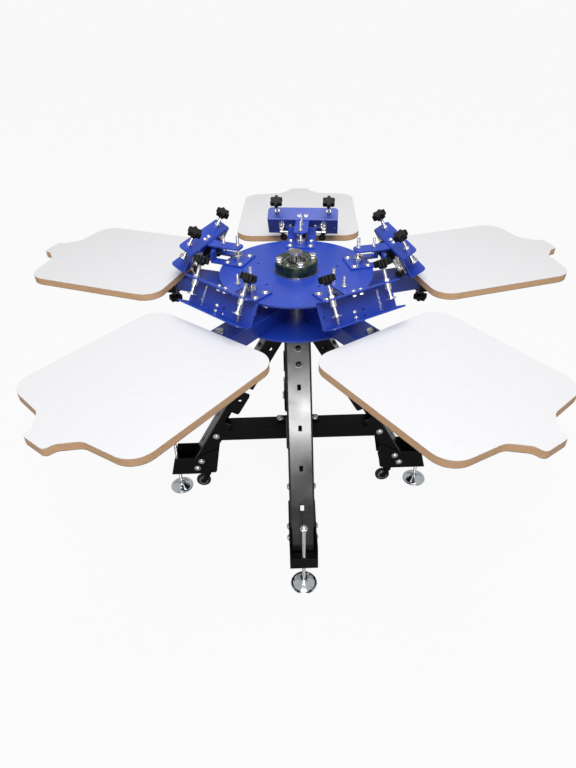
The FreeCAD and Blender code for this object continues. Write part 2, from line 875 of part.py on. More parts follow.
def hub_casting():
    """Cast bearing housing: a base ring and a drum with a round recess."""
    low = upper_disc_top
    ring = cylinder(hub_base_radius, hub_base_height, 0, 0, low)
    drum = cylinder(hub_radius, hub_height, 0, 0, low)
    rim = [edge for edge in drum.Edges if edge.BoundBox.ZMin > low and edge.isClosed()]
    drum = drum.makeChamfer(hub_edge_chamfer, rim)
    body = joined([ring, drum])
    bore = cylinder(bore_radius, hub_height + 2 * overrun, 0, 0, low - overrun)
    recess = cylinder(hub_bearing_radius, hub_bearing_sink + hub_bearing_height + overrun,
                      0, 0, hub_bearing_low)
    return [body.cut([bore, recess])]


def hub_bearing():
    """Ball bearing in the recess of the casting, with a sunk seal."""
    ring = cylinder(hub_bearing_radius, hub_bearing_height, 0, 0, hub_bearing_low)
    seal = cylinder(hub_seal_outer_radius, hub_seal_depth + overrun, 0, 0,
                    hub_bearing_top - hub_seal_depth)
    seal = seal.cut(cylinder(hub_seal_inner_radius, hub_height, 0, 0, hub_bearing_low))
    bore = cylinder(bore_radius, hub_bearing_height + 2 * overrun, 0, 0,
                    hub_bearing_low - overrun)
    return [ring.cut([seal, bore])]


def head_base():
    """Bent plate: a foot on the disc, an upright in two halves and two ears."""
    half = base_width / 2
    notch = base_notch_width / 2
    low = upper_disc_top
    top = low + base_upright_height
    foot = box(base_inner_reach, base_outer_reach, -half, half, low, base_top)
    upright = box(base_outer_reach - base_sheet, base_outer_reach, -half, half, low, top)
    ears = []
    for side in (-1, 1):
        edges = sorted((side * notch, side * (notch + ear_wall)))
        ear = box(base_outer_reach - base_sheet, pivot_reach, edges[0], edges[1],
                  pivot_height - ear_radius, pivot_height + ear_radius)
        end = cylinder(ear_radius, ear_wall, pivot_reach, edges[0], pivot_height, ALONG)
        ears += [ear, end]
    body = joined([foot, upright] + ears)
    cutters = [box(base_notch_reach, base_outer_reach + overrun, -notch, notch,
                   low - overrun, top + overrun)]
    cutters.append(cylinder(pin_radius + running_clearance, base_width, pivot_reach, -half,
                            pivot_height, ALONG))
    return body.cut(cutters)


def head_bases():
    return [turned(head_base(), row_angle(row, upper_rest_turn)) for row in range(row_count)]


def stop_cup():
    """Cup on a head base, in which the lift rod comes to rest."""
    cup = cylinder(cup_radius, cup_height, lift_rod_reach, 0, base_top)
    return cup.cut(cylinder(cup_bore_radius, cup_height, lift_rod_reach, 0, base_top + base_sheet))


def upper_bolts():
    """Bolt heads of the hub and of the head bases, and the stop cups."""
    pieces = []
    for index in range(hub_bolt_count):
        pieces.append(turned(bolt_head(hub_bolt_reach, 0, hub_top), hub_bolt_angle(index)))
    for row in range(row_count):
        own = [stop_cup()]
        for reach in base_bolt_reaches:
            for side in (-1, 1):
                own.append(bolt_head(reach, side * base_bolt_spacing / 2, base_top))
        pieces += [turned(piece, row_angle(row, upper_rest_turn)) for piece in own]
    return pieces


def hinge_pins():
    pieces = []
    half = base_notch_width / 2 + ear_wall + base_sheet / 2
    for row in range(row_count):
        pin = cylinder(pin_radius, 2 * half, pivot_reach, -half, pivot_height, ALONG)
        pieces.append(turned(pin, row_angle(row, upper_rest_turn)))
    return pieces


# Print heads

def clamp_channel():
    """Channel that opens outward, drawn in its printing position."""
    half = channel_length / 2
    front = channel_back + channel_depth
    corner = channel_corner_radius
    solid = plate([(channel_back, -half), (front, -half), (front, half), (channel_back, half)],
                  [0, corner, corner, 0], channel_bottom, channel_top)
    hollow = box(channel_back + channel_sheet, front + overrun, -half - overrun, half + overrun,
                 channel_bottom + channel_sheet, channel_top - channel_sheet)
    cutters = [hollow]
    start = channel_back - overrun
    end = channel_back + channel_sheet + overrun
    middle = (channel_bottom + channel_top) / 2
    window = tongue_width / 2 + tongue_fit
    cutters.append(box(start, channel_back + channel_sheet, -window, window,
                       channel_top - channel_sheet - tongue_sheet - tongue_fit,
                       channel_top - channel_sheet))
    for side in (-1, 1):
        place = side * web_slot_offset
        cutters.append(box(start, end, place - web_slot_width / 2, place + web_slot_width / 2,
                           middle - web_slot_length / 2, middle + web_slot_length / 2))
        cutters.append(cylinder(bush_radius, channel_sheet + 2 * overrun,
                                channel_back + screw_depth_offset, side * screw_spacing / 2,
                                channel_top - channel_sheet - overrun))
    return solid.cut(cutters)


def tongue_corner():
    """Raised place of the clamp's inner top corner, where the tongue passes."""
    return raised_point(channel_back + channel_sheet, channel_top - channel_sheet)


def tongue_top():
    return tongue_corner()[1] - tongue_dip


def tongue():
    """Bent plate that is level while the head is raised."""
    corner_x, corner_z = tongue_corner()
    top = tongue_top()
    low = top - tongue_sheet
    cosine = math.cos(lift_turn)
    sine = math.sin(lift_turn)
    bend_x = corner_x - tongue_dip * cosine / sine
    under_x = bend_x + tongue_sheet * math.tan(lift_turn / 2)
    end_x = corner_x + tongue_lap * cosine
    end_z = corner_z + tongue_lap * sine
    outline = [(tongue_tip_reach, low), (under_x, low),
               (end_x + tongue_sheet * sine, end_z - tongue_sheet * cosine),
               (end_x, end_z), (bend_x, top), (tongue_tip_reach, top)]
    half = tongue_width / 2
    strip = side_plate(outline, square_corners(outline), -half, half)
    far = channel_back + channel_depth
    tip = plate([(tongue_tip_reach, -half), (far, -half), (far, half), (tongue_tip_reach, half)],
                [half - tongue_sheet, 0, 0, half - tongue_sheet], low - channel_height,
                top + channel_height)
    strip = strip.common(tip)
    cutters = []
    for radius, reach in ((lift_rod_radius, lift_rod_reach), (off_contact_radius, off_contact_reach)):
        cutters.append(cylinder(radius, 2 * tongue_sheet, reach, 0, low - overrun))
    return strip.cut(cutters)


def print_head(row):
    angle = row_angle(row, upper_rest_turn)
    return [turned(raised(clamp_channel()), angle), turned(tongue(), angle)]


def carriage():
    """Block that swings on the hinge pin, with the slide rod and its knobs."""
    half = block_width / 2
    low = pivot_height - block_drop
    arm_low = pivot_height - block_round
    rod_height = pivot_height - slide_rod_drop
    solids = [box(pivot_reach, channel_back, -half, half, arm_low, pivot_height),
              cylinder(block_round, block_width, pivot_reach, -half, pivot_height, ALONG),
              box(channel_back - block_depth, channel_back, -half, half, low, pivot_height),
              cylinder(slide_rod_radius, 2 * slide_rod_half_length,
                       channel_back - slide_rod_offset, -slide_rod_half_length, rod_height, ALONG),
              cylinder(centre_knob_radius, centre_knob_height, channel_back - block_depth, 0,
                       low + centre_knob_radius / 2, OUTWARD * -1)]
    for side in (-1, 1):
        solids += side_bracket(side)
    pin_hole = cylinder(pin_radius + running_clearance, block_width + 2 * overrun, pivot_reach,
                        -half - overrun, pivot_height, ALONG)
    return joined(solids).cut(pin_hole)


def side_bracket(side):
    """Angle bracket that holds one end of the slide rod, and its round knob."""
    middle = pivot_height - slide_rod_drop
    low = middle - bracket_height / 2
    high = middle + bracket_height / 2
    inner = side * bracket_offset
    wall = sorted((inner, inner + side * bracket_sheet))
    foot = sorted((inner, inner + side * (bracket_sheet + bracket_foot)))
    leaf = box(channel_back - bracket_depth, channel_back, wall[0], wall[1], low, high)
    back = box(channel_back - bracket_sheet, channel_back, foot[0], foot[1], low, high)
    knob_reach = channel_back - slide_rod_offset - side_knob_radius / 2
    knob = cylinder(side_knob_radius, side_knob_height, knob_reach,
                    side * (bracket_offset + bracket_sheet / 2), low - side_knob_height)
    return [leaf, back, knob]


def lift_rod():
    """Threaded stop rod at the tongue's tip, with its nut on the tongue."""
    low = base_top + base_sheet + lift_rod_tip_gap
    high = tongue_top() + lift_rod_stand
    rod = cylinder(lift_rod_radius, high - low, lift_rod_reach, 0, low)
    nut = hexagon(rod_nut_radius, bolt_head_height, lift_rod_reach, 0, tongue_top())
    return joined([rod, nut])


def off_contact_screw():
    low = tongue_top() - tongue_sheet - off_contact_drop
    high = tongue_top() + off_contact_stand
    screw = cylinder(off_contact_radius, high - low, off_contact_reach, 0, low)
    nut = hexagon(rod_nut_radius, bolt_head_height, off_contact_reach, 0, tongue_top())
    return joined([screw, nut])


def clamp_bush(side):
    """Threaded bush through the clamp's top flange, for one clamp screw."""
    x = channel_back + screw_depth_offset
    y = side * screw_spacing / 2
    low = channel_top - channel_sheet - bush_length
    bush = cylinder(bush_radius, bush_length + channel_sheet + bush_rise, x, y, low)
    return bush.cut(cylinder(screw_radius + running_clearance, channel_height, x, y,
                             low - overrun))


def head_fittings(row):
    angle = row_angle(row, upper_rest_turn)
    swung = [carriage(), clamp_bush(-1), clamp_bush(1)]
    level = [lift_rod(), off_contact_screw()]
    return [turned(raised(piece), angle) for piece in swung] + [turned(piece, angle) for piece in level]


def clamp_screw(row, side):
    """Star knob, screw and round pad that hold a screen frame down."""
    x = channel_back + screw_depth_offset
    y = side * screw_spacing / 2
    pad_low = channel_top - pad_drop - pad_thickness
    knob_low = channel_top + screw_knob_stand - knob_hub_height
    pad = cylinder(pad_radius, pad_thickness, x, y, pad_low)
    screw = cylinder(screw_radius, knob_low - pad_low, x, y, pad_low)
    knob = star_knob(screw_knob_radius, screw_knob_height, x, y, knob_low, UP)
    solid = joined([pad, screw, knob])
    return [turned(raised(solid), row_angle(row, upper_rest_turn))]


# Write every sub-part

def write(node, solids):
    shape = solids[0] if len(solids) == 1 else Part.makeCompound(solids)
    shape.exportStep("parts/" + node + ".step")


os.makedirs("parts", exist_ok=True)
write("stand_legs", stand_legs())
write("leg_head", leg_head())
write("main_shaft", main_shaft())
write("cross_braces", cross_braces())
write("leg_side_plates", leg_side_plates())
write("foot_brackets", foot_brackets())
write("stand_bolts", stand_bolts())
for leg_index in range(leg_count):
    number = str(leg_index + 1)
    write("levelling_foot_" + number, levelling_foot(leg_index))
    write("castor_fork_" + number, castor_fork(leg_index))
    write("castor_wheel_" + number, castor_wheel(leg_index))
write("lower_disc", lower_disc())
write("lower_bearing", lower_bearing())
write("pallet_arms", pallet_arms())
write("arm_bolts", arm_bolts())
write("pallet_stops", pallet_stops())
write("upper_disc", upper_disc())
write("hub_casting", hub_casting())
write("hub_bearing", hub_bearing())
write("head_bases", head_bases())
write("upper_bolts", upper_bolts())
write("hinge_pins", hinge_pins())
for row_index in range(row_count):
    number = str(row_index + 1)
    write("pallet_" + number, pallet(row_index))
    write("pallet_knob_" + number, pallet_knob(row_index))
    write("print_head_" + number, print_head(row_index))
    write("head_fittings_" + number, head_fittings(row_index))
    write("clamp_screw_" + number + "_left", clamp_screw(row_index, 1))
    write("clamp_screw_" + number + "_right", clamp_screw(row_index, -1))
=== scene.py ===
import bmesh
import bpy
import math
from mathutils import Matrix, Vector


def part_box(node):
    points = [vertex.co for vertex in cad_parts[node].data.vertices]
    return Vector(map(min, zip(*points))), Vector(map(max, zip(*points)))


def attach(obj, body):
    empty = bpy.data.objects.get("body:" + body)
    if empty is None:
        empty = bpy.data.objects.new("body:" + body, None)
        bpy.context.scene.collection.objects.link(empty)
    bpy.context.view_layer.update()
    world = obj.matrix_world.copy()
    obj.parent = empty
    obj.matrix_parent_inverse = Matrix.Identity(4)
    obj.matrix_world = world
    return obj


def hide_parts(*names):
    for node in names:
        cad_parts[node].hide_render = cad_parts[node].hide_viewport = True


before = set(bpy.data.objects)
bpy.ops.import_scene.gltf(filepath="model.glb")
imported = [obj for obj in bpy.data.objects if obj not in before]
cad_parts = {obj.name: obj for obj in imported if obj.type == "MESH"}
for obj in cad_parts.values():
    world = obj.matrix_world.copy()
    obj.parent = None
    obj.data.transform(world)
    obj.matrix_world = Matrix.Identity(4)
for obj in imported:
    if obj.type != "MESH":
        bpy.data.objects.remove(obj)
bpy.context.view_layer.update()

# stand legs
# Four channels that lean against each other at the top. They are cut, punched
# and bent from 4 mm steel sheet, then powder coated black with a fine grain.

MM = 0.001
SHARP_ANGLE = math.radians(32)
BEND_EASE = 0.9 * MM
LEG_FACE_TILT = 0.25


def add_node(tree, kind, **settings):
    """New shader node with some of its settings given."""
    node = tree.nodes.new(kind)
    for key, value in settings.items():
        setattr(node, key, value)
    return node


def feed(tree, value, socket):
    """Link a socket to a value that varies, or set it to a plain one."""
    if hasattr(value, "links"):
        tree.links.new(value, socket)
    else:
        socket.default_value = value


def mottled_noise(tree, place, size, detail):
    """Noise whose blotches are about the given size in metres."""
    noise = add_node(tree, "ShaderNodeTexNoise")
    noise.inputs["Scale"].default_value = 1.0 / size
    noise.inputs["Detail"].default_value = detail
    tree.links.new(place, noise.inputs["Vector"])
    return noise.outputs["Fac"]


def spread(tree, value, low, high, out_low=0.0, out_high=1.0):
    """Stretch a value between two limits to new limits."""
    ramp = add_node(tree, "ShaderNodeMapRange")
    for name, number in (("From Min", low), ("From Max", high),
                         ("To Min", out_low), ("To Max", out_high)):
        ramp.inputs[name].default_value = number
    tree.links.new(value, ramp.inputs["Value"])
    return ramp.outputs["Result"]


def tint(tree, mask, first, second):
    """Mix two colours by a mask."""
    mix = add_node(tree, "ShaderNodeMix", data_type="RGBA")
    tree.links.new(mask, mix.inputs["Factor"])
    feed(tree, first, mix.inputs[6])
    feed(tree, second, mix.inputs[7])
    return mix.outputs[2]


def sums(tree, operation, first, second):
    """One step of arithmetic on two values."""
    node = add_node(tree, "ShaderNodeMath", operation=operation)
    feed(tree, first, node.inputs[0])
    feed(tree, second, node.inputs[1])
    return node.outputs["Value"]


def start_skin(name, colours, numbers):
    """Empty skin group, its inputs and the place on the surface."""
    group = bpy.data.node_groups.new(name, "ShaderNodeTree")
    for kind, labels in (("Color", colours), ("Float", numbers)):
        for label in labels:
            group.interface.new_socket(label, in_out="INPUT", socket_type="NodeSocket" + kind)
    for label, kind in (("Colour", "Color"), ("Roughness", "Float"), ("Height", "Float")):
        group.interface.new_socket(label, in_out="OUTPUT", socket_type="NodeSocket" + kind)
    place = add_node(group, "ShaderNodeTexCoord").outputs["Object"]
    return group, add_node(group, "NodeGroupInput").outputs, place


def end_skin(group, colour, rough, height):
    """Lead the three results of a skin group to its outputs."""
    sink = add_node(group, "NodeGroupOutput")
    group.links.new(colour, sink.inputs["Colour"])
    group.links.new(rough, sink.inputs["Roughness"])
    group.links.new(height, sink.inputs["Height"])
    return group


def powder_coat():
    """Fine grain, soft blotches and faint rub marks of a powder coat."""
    group, given, place = start_skin("powder_coat_skin", ["Colour", "Rubbed"],
                                     ["Roughness", "Grain", "Rub"])
    grain = mottled_noise(group, place, 2.2 * MM, 3.0)
    peel = mottled_noise(group, place, 9 * MM, 2.0)
    cloud = mottled_noise(group, place, 90 * MM, 3.0)
    streak = mottled_noise(group, place, 18 * MM, 6.0)
    rub = sums(group, "MULTIPLY", spread(group, streak, 0.56, 0.72),
               spread(group, cloud, 0.45, 0.7))
    rub = sums(group, "MULTIPLY", rub, given["Rub"])
    shade = tint(group, spread(group, cloud, 0.3, 0.7, 0.0, 0.16), given["Colour"], (0, 0, 0, 1))
    fleck = sums(group, "MULTIPLY", spread(group, grain, 0.62, 0.8, 0.0, 0.12), given["Grain"])
    shade = tint(group, fleck, shade, (1, 1, 1, 1))
    colour = tint(group, rub, shade, given["Rubbed"])
    rough = sums(group, "ADD", given["Roughness"], spread(group, cloud, 0.3, 0.7, -0.05, 0.05))
    rough = sums(group, "ADD", rough, sums(group, "MULTIPLY", rub, 0.15))
    height = sums(group, "ADD", sums(group, "MULTIPLY", grain, given["Grain"]),
                  sums(group, "MULTIPLY", peel, 0.5))
    return end_skin(group, colour, rough, height)


def finish_material(name, skin, settings, bump, depth, specular=0.5, metallic=0.0):
    """Material whose skin group feeds colour, roughness and bump."""
    material = bpy.data.materials.new(name)
    material.use_nodes = True
    tree = material.node_tree
    shader = tree.nodes["Principled BSDF"]
    shader.inputs["Specular IOR Level"].default_value = specular
    shader.inputs["Metallic"].default_value = metallic
    group = add_node(tree, "ShaderNodeGroup", node_tree=skin)
    for key, value in settings.items():
        group.inputs[key].default_value = (*value, 1) if isinstance(value, tuple) else value
    relief = add_node(tree, "ShaderNodeBump")
    relief.inputs["Strength"].default_value = bump
    relief.inputs["Distance"].default_value = depth
    tree.links.new(group.outputs["Height"], relief.inputs["Height"])
    tree.links.new(relief.outputs["Normal"], shader.inputs["Normal"])
    tree.links.new(group.outputs["Colour"], shader.inputs["Base Color"])
    tree.links.new(group.outputs["Roughness"], shader.inputs["Roughness"])
    return material


powder_coat_skin = powder_coat()
black_coat = finish_material(
    "black_powder_coat", powder_coat_skin,
    {"Colour": (0.004, 0.004, 0.0045), "Rubbed": (0.03, 0.03, 0.033),
     "Roughness": 0.42, "Grain": 0.6, "Rub": 0.5}, bump=0.3, depth=0.1 * MM, specular=0.16)
glossy_black_coat = finish_material(
    "glossy_black_coat", powder_coat_skin,
    {"Colour": (0.004, 0.004, 0.005), "Rubbed": (0.03, 0.03, 0.035),
     "Roughness": 0.19, "Grain": 0.4, "Rub": 0.4}, bump=0.2, depth=0.1 * MM, specular=0.7)


def add_object(name, data):
    """New object in the scene."""
    thing = bpy.data.objects.new(name, data)
    bpy.context.scene.collection.objects.link(thing)
    return thing


def closed_mesh(name, bm):
    """Mesh of a closed form, smooth except along its sharp edges."""
    bmesh.ops.recalc_face_normals(bm, faces=bm.faces)
    mesh = bpy.data.meshes.new(name)
    bm.to_mesh(mesh)
    bm.free()
    mesh.polygons.foreach_set("use_smooth", [True] * len(mesh.polygons))
    mesh.set_sharp_from_angle(angle=SHARP_ANGLE)
    return mesh


def new_piece(node, name, body, form, finishes):
    """Piece that stands for a CAD node and rides on a body."""
    piece = add_object(name, closed_mesh(name, form))
    for finish in finishes:
        piece.data.materials.append(finish)
    weighting = piece.modifiers.new("level_shading", "WEIGHTED_NORMAL")
    weighting.keep_sharp = True
    weighting.weight = 100
    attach(piece, body)
    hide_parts(node)


def node_form(node):
    """Form of a CAD node, its faces joined along their edges."""
    bm = bmesh.new()
    bm.from_mesh(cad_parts[node].data)
    bmesh.ops.remove_doubles(bm, verts=bm.verts, dist=0.002 * MM)
    return bm


def solids_of(bm):
    """Faces of a form sorted into its separate solids."""
    left = set(bm.faces)
    groups = []
    while left:
        group = [left.pop()]
        for face in group:
            for edge in face.edges:
                for other in edge.link_faces:
                    if other in left:
                        left.remove(other)
                        group.append(other)
        groups.append(group)
    return groups


def corners_of(faces):
    """Low and high corner of the box around some faces."""
    points = [vert.co for face in faces for vert in face.verts]
    return [Vector([pick(point[axis] for point in points) for axis in range(3)])
            for pick in (min, max)]


def ease_edges(bm, ease):
    """Small rounds along the sharp edges of a form."""
    edges = [edge for edge in bm.edges
             if len(edge.link_faces) == 2 and edge.calc_face_angle() > SHARP_ANGLE]
    bmesh.ops.bevel(bm, geom=edges, offset=ease, segments=2, profile=0.5, affect="EDGES",
                    clamp_overlap=True)


def eased_form(node, ease, choose, drop=None):
    """Form of a CAD node with small rounds along its sharp edges.

    choose(low, high, face) gives the finish of a face, and drop(low, high)
    leaves out a solid, both by the corners of the solid's box; either may be
    missing.
    """
    bm = node_form(node)
    bmesh.ops.dissolve_limit(bm, angle_limit=math.radians(0.4), verts=bm.verts, edges=bm.edges)
    dropped = []
    for solid in solids_of(bm):
        low, high = corners_of(solid)
        if drop and drop(low, high):
            dropped += solid
        elif choose:
            for face in solid:
                face.material_index = choose(low, high, face)
    bmesh.ops.delete(bm, geom=dropped, context="FACES")
    ease_edges(bm, ease)
    return bm


def eased_copy(node, name, body, finishes, ease=BEND_EASE, choose=None):
    """Piece that has the form of its CAD node, its sharp edges softened."""
    new_piece(node, name, body, eased_form(node, ease, choose), finishes)


def leg_finish(low, high, face):
    """The broad outer face of a leg is glossier than its folded sides."""
    return 1 if face.normal.z > LEG_FACE_TILT else 0


eased_copy("stand_legs", "leg_channels", "stand", [black_coat, glossy_black_coat],
           BEND_EASE, leg_finish)

# leg head, braces and straps
# The cross-shaped head holds the shaft, folded braces tie the legs, and a
# punched strap is bolted to a side of each leg. All are steel, coated black.

STRAP_EASE = 0.6 * MM
eased_copy("leg_head", "leg_head_cross", "stand", [black_coat])
eased_copy("cross_braces", "brace_channels", "stand", [black_coat])
eased_copy("leg_side_plates", "punched_straps", "stand", [black_coat], STRAP_EASE)

# foot brackets
# Shoes of folded sheet clasp the feet of the legs. Each carries a castor under
# its heel and a levelling foot at its toe, and is coated like the legs.

eased_copy("foot_brackets", "leg_shoes", "stand", [black_coat])

# main shaft
# Turned steel shaft with a slotted nut on its top and a spacer between the
# discs. It is zinc plated and darker brown on the faces that point up, and the
# sides of the nut's slots are dark with painted shade.

SHAFT_EASE = 0.5 * MM
NUT_LOW = 957 * MM
NUT_RADIUS = 19 * MM
NUT_SKIN = 0.7 * MM
FACES_UP = 0.9


def level_layers(tree, place, stretch, size, detail):
    """Noise that is drawn out along the surface into level layers."""
    flat = add_node(tree, "ShaderNodeMapping")
    flat.inputs["Scale"].default_value = (1.0, 1.0, stretch)
    tree.links.new(place, flat.inputs["Vector"])
    return mottled_noise(tree, flat.outputs["Vector"], size, detail)


def plated_metal():
    """Patchy plating: faint clouds, turning marks and darker spots."""
    group, given, place = start_skin("plated_metal_skin", ["Colour", "Dark"],
                                     ["Roughness", "Tarnish"])
    cloud = mottled_noise(group, place, 14 * MM, 4.0)
    speck = mottled_noise(group, place, 1.6 * MM, 2.0)
    turning = level_layers(group, place, 12.0, 5 * MM, 3.0)
    dark = sums(group, "MULTIPLY", spread(group, cloud, 0.45, 0.75), given["Tarnish"])
    colour = tint(group, dark, given["Colour"], given["Dark"])
    rough = sums(group, "ADD", given["Roughness"], spread(group, cloud, 0.3, 0.7, -0.06, 0.1))
    height = sums(group, "ADD", sums(group, "MULTIPLY", turning, 0.6),
                  sums(group, "MULTIPLY", speck, 0.4))
    return end_skin(group, colour, rough, height)


plated_metal_skin = plated_metal()
zinc_plate = finish_material(
    "zinc_plated_steel", plated_metal_skin,
    {"Colour": (0.8, 0.79, 0.76), "Dark": (0.36, 0.34, 0.32),
     "Roughness": 0.25, "Tarnish": 0.5}, bump=0.25, depth=0.05 * MM, metallic=1.0)
# Darker brown steel for the faces of the shaft that point up.
upward_face_steel = finish_material(
    "brown_steel_upward_faces", plated_metal_skin,
    {"Colour": (0.36, 0.32, 0.28), "Dark": (0.16, 0.13, 0.11),
     "Roughness": 0.4, "Tarnish": 0.8}, bump=0.4, depth=0.08 * MM, metallic=1.0)
# Near black steel for the sides of the nut's slots: painted shade in the recesses.
slot_shade_steel = finish_material(
    "painted_slot_shade", plated_metal_skin,
    {"Colour": (0.05, 0.047, 0.045), "Dark": (0.015, 0.014, 0.013),
     "Roughness": 0.45, "Tarnish": 0.9}, bump=0.3, depth=0.08 * MM, metallic=0.6)


def shaft_finish(low, high, face):
    """Upward faces are darker brown steel; the nut's slot sides are painted shade."""
    if face.normal.z > FACES_UP:
        return 1
    middle = face.calc_center_median()
    return 2 if middle.z > NUT_LOW and middle.xy.length < NUT_RADIUS - NUT_SKIN else 0


eased_copy("main_shaft", "shaft_and_nut", "stand",
           [zinc_plate, upward_face_steel, slot_shade_steel], SHAFT_EASE, shaft_finish)

# stand bolts
# Button-headed bolts with washers hold the legs, shoes and braces. They are
# zinc plated steel, and those on the leg faces were coated with the legs.

BOLT_HEAD = 9.5 * MM
BOLT_WASHER = 1.4 * MM
LEG_APEX = 882 * MM
LEG_SLOPE = 428 / 769
LEG_LEAN = math.atan(LEG_SLOPE)
LEG_SIDE = 41 * MM
LEG_SHEET = 4 * MM
LEG_MIDDLE = 29.2 * MM
FACE_BOLT_HEAD = 8.5 * MM
FACE_BOLT_RUNS = (206 * MM, 257 * MM)
SHOE_BOLT_HEIGHTS = (138 * MM, 172 * MM)
BRACE_BOLT_HEIGHT = 291 * MM
BRACE_BOLT_FACE = -33 * MM
BRACE_BOLT_SIDE = 20 * MM
LONG_BRACE_BOLT = Vector((64 * MM, 18 * MM, 319 * MM))
ROD_NUT_PLACE = Vector((466 * MM, 0, 112 * MM))
ROD_NUT_CORNER = 10.5 * MM
ROD_NUT_HEIGHT = 15 * MM
ROD_NUT_BORE = 7 * MM


def new_ring(bm, place, reaches, height):
    """Points around an axis, each at its own distance."""
    angles = [2 * math.pi * step / len(reaches) for step in range(len(reaches))]
    return [bm.verts.new(place @ Vector((reach * math.cos(angle), reach * math.sin(angle), height)))
            for reach, angle in zip(reaches, angles)]


def join_rings(bm, rings, finish):
    """Faces from each ring to the next; a ring of one point is a pole."""
    for low, high in zip(rings, rings[1:]):
        count = max(len(low), len(high))
        for step in range(count):
            after = (step + 1) % count
            if len(low) == 1:
                corners = [low[0], high[after], high[step]]
            elif len(high) == 1:
                corners = [low[step], low[after], high[0]]
            else:
                corners = [low[step], low[after], high[after], high[step]]
            bm.faces.new(corners).material_index = finish


def turned_mesh(bm, outline, place, segments, finish=0):
    """Spin an outline of (radius, height) points about an axis."""
    join_rings(bm, [new_ring(bm, place, [radius] * (segments if radius else 1), height)
                    for radius, height in outline], finish)


def shift(x, y, z):
    """Placement that only moves."""
    return Matrix.Translation((x, y, z))


def turn(degrees):
    """Placement that only turns about the press's upright axis."""
    return Matrix.Rotation(math.radians(degrees), 4, "Z")


def aim(point, direction):
    """Placement whose Z axis points in a direction."""
    swing = Vector(direction).normalized().to_track_quat("Z", "Y").to_matrix().to_4x4()
    return Matrix.Translation(Vector(point)) @ swing


def dome_outline(radius, height, base):
    """Outline of a low dome on a base height, from its rim to its crown."""
    steps = 6
    points = []
    for step in range(steps):
        angle = math.pi / 2 * step / steps
        points.append((radius * math.cos(angle), base + height * math.sin(angle)))
    return points + [(0, base + height)]


def button_bolt(bm, place, radius=BOLT_HEAD, finish=0, socket=None):
    """Washer and domed head that sit on a face, with or without a hex socket whose floor is painted shade.
    """
    washer = BOLT_WASHER
    turned_mesh(bm, [(0, 0), (radius * 1.22, 0), (radius * 1.25, washer * 0.7),
                     (radius * 1.15, washer), (0, washer)], place, 28, finish)
    foot = [(0, washer * 0.5), (radius, washer * 0.5)]
    dome = dome_outline(radius, radius * 0.6, washer)
    if socket is None:
        turned_mesh(bm, foot + dome, place, 28, finish)
        return
    rim = radius * 0.42
    brow = dome[4][1]
    well = brow - radius * 0.32
    lip = 0.1 * MM
    recess = 0.4 * MM
    open_dome = [point for point in dome if point[0] > rim] + [(rim, brow + lip), (rim, well)]
    turned_mesh(bm, foot + open_dome, place, 24, finish)
    # The socket's floor takes the socket finish, a black that paints the shade in the recess.
    turned_mesh(bm, [(0, well - recess), (rim, well - recess), (rim * 0.98, well), (0, well)],
                place, 24, socket)


def hex_nut(bm, place, corner, height, finish=0, bore=0):
    """Six-sided nut or bolt head with chamfered corners, solid or with a bore."""
    edge = corner * 0.93
    lift = corner * 0.08
    outline = [(bore, 0), (edge, 0), (corner, lift), (corner, height - lift), (edge, height),
               (bore, height)]
    turned_mesh(bm, outline + outline[:1] if bore else outline, place, 6, finish)


def on_leg(height):
    """Distance of a leg's outer face from the middle of the press."""
    return (LEG_APEX - height) * LEG_SLOPE


def side_bolt(bm, row, side, gap, height):
    """Bolt in the middle of a leg's side, or on a plate that lies on it."""
    spot = (on_leg(height) - LEG_MIDDLE, side * (LEG_SIDE + gap), height)
    button_bolt(bm, row @ aim(spot, (0, side, 0)))


bm = bmesh.new()
for number in (1, 2, 3, 4):
    row = turn(90 * number)
    for run in FACE_BOLT_RUNS:
        height = LEG_APEX - run * math.cos(LEG_LEAN)
        outward = (math.cos(LEG_LEAN), 0, math.sin(LEG_LEAN))
        button_bolt(bm, row @ aim((on_leg(height), 0, height), outward), FACE_BOLT_HEAD, 1)
    for side in (-1, 1):
        for height in SHOE_BOLT_HEIGHTS:
            side_bolt(bm, row, side, LEG_SHEET, height)
        side_bolt(bm, row, side, 0, BRACE_BOLT_HEIGHT)
    hex_nut(bm, row @ shift(*ROD_NUT_PLACE), ROD_NUT_CORNER, ROD_NUT_HEIGHT, 0, ROD_NUT_BORE)
for side in (-1, 1):
    button_bolt(bm, aim(LONG_BRACE_BOLT * Vector((side, 1, 1)), (0, 0, 1)))
    button_bolt(bm, aim((side * BRACE_BOLT_SIDE, BRACE_BOLT_FACE, BRACE_BOLT_HEIGHT), (0, 1, 0)))
new_piece("stand_bolts", "stand_bolt_set", "stand", bm,
          [zinc_plate, glossy_black_coat])

# levelling feet
# Chromed pressed pads on long threaded rods stand at the toes of the shoes.
# The rods are screwed up or down in the shoes and end in a domed cap nut.

PAD_POINTS = ((0, 0), (41, 0), (43.4, 0.6), (44, 2), (43.6, 3.6), (42.2, 4.6), (40, 4.9),
              (38, 4.3), (36.5, 4.1), (35, 4.8), (31, 7.6), (26, 11.4), (21, 15.4), (17, 18.4),
              (14.6, 20), (13.6, 21.6), (13.2, 24), (13, 30), (12.2, 32.6), (10, 33.5), (0, 33.5))
PAD_SOCKET = 33 * MM
FOOT_ROD_RADIUS = 6 * MM
FOOT_ROD_PITCH = 1.75 * MM
CAP_NUT_LOW = 272 * MM
CAP_NUT_HEIGHT = 12 * MM
CAP_NUT_CORNER = 12 * MM
CAP_DOME = 9.5 * MM
CAP_DOME_HEIGHT = 9 * MM
OVERLAP = 1 * MM

chrome = finish_material(
    "polished_chrome", plated_metal_skin,
    {"Colour": (0.76, 0.81, 0.84), "Dark": (0.4, 0.44, 0.47),
     "Roughness": 0.1, "Tarnish": 0.4}, bump=0.06, depth=0.03 * MM, metallic=1.0)


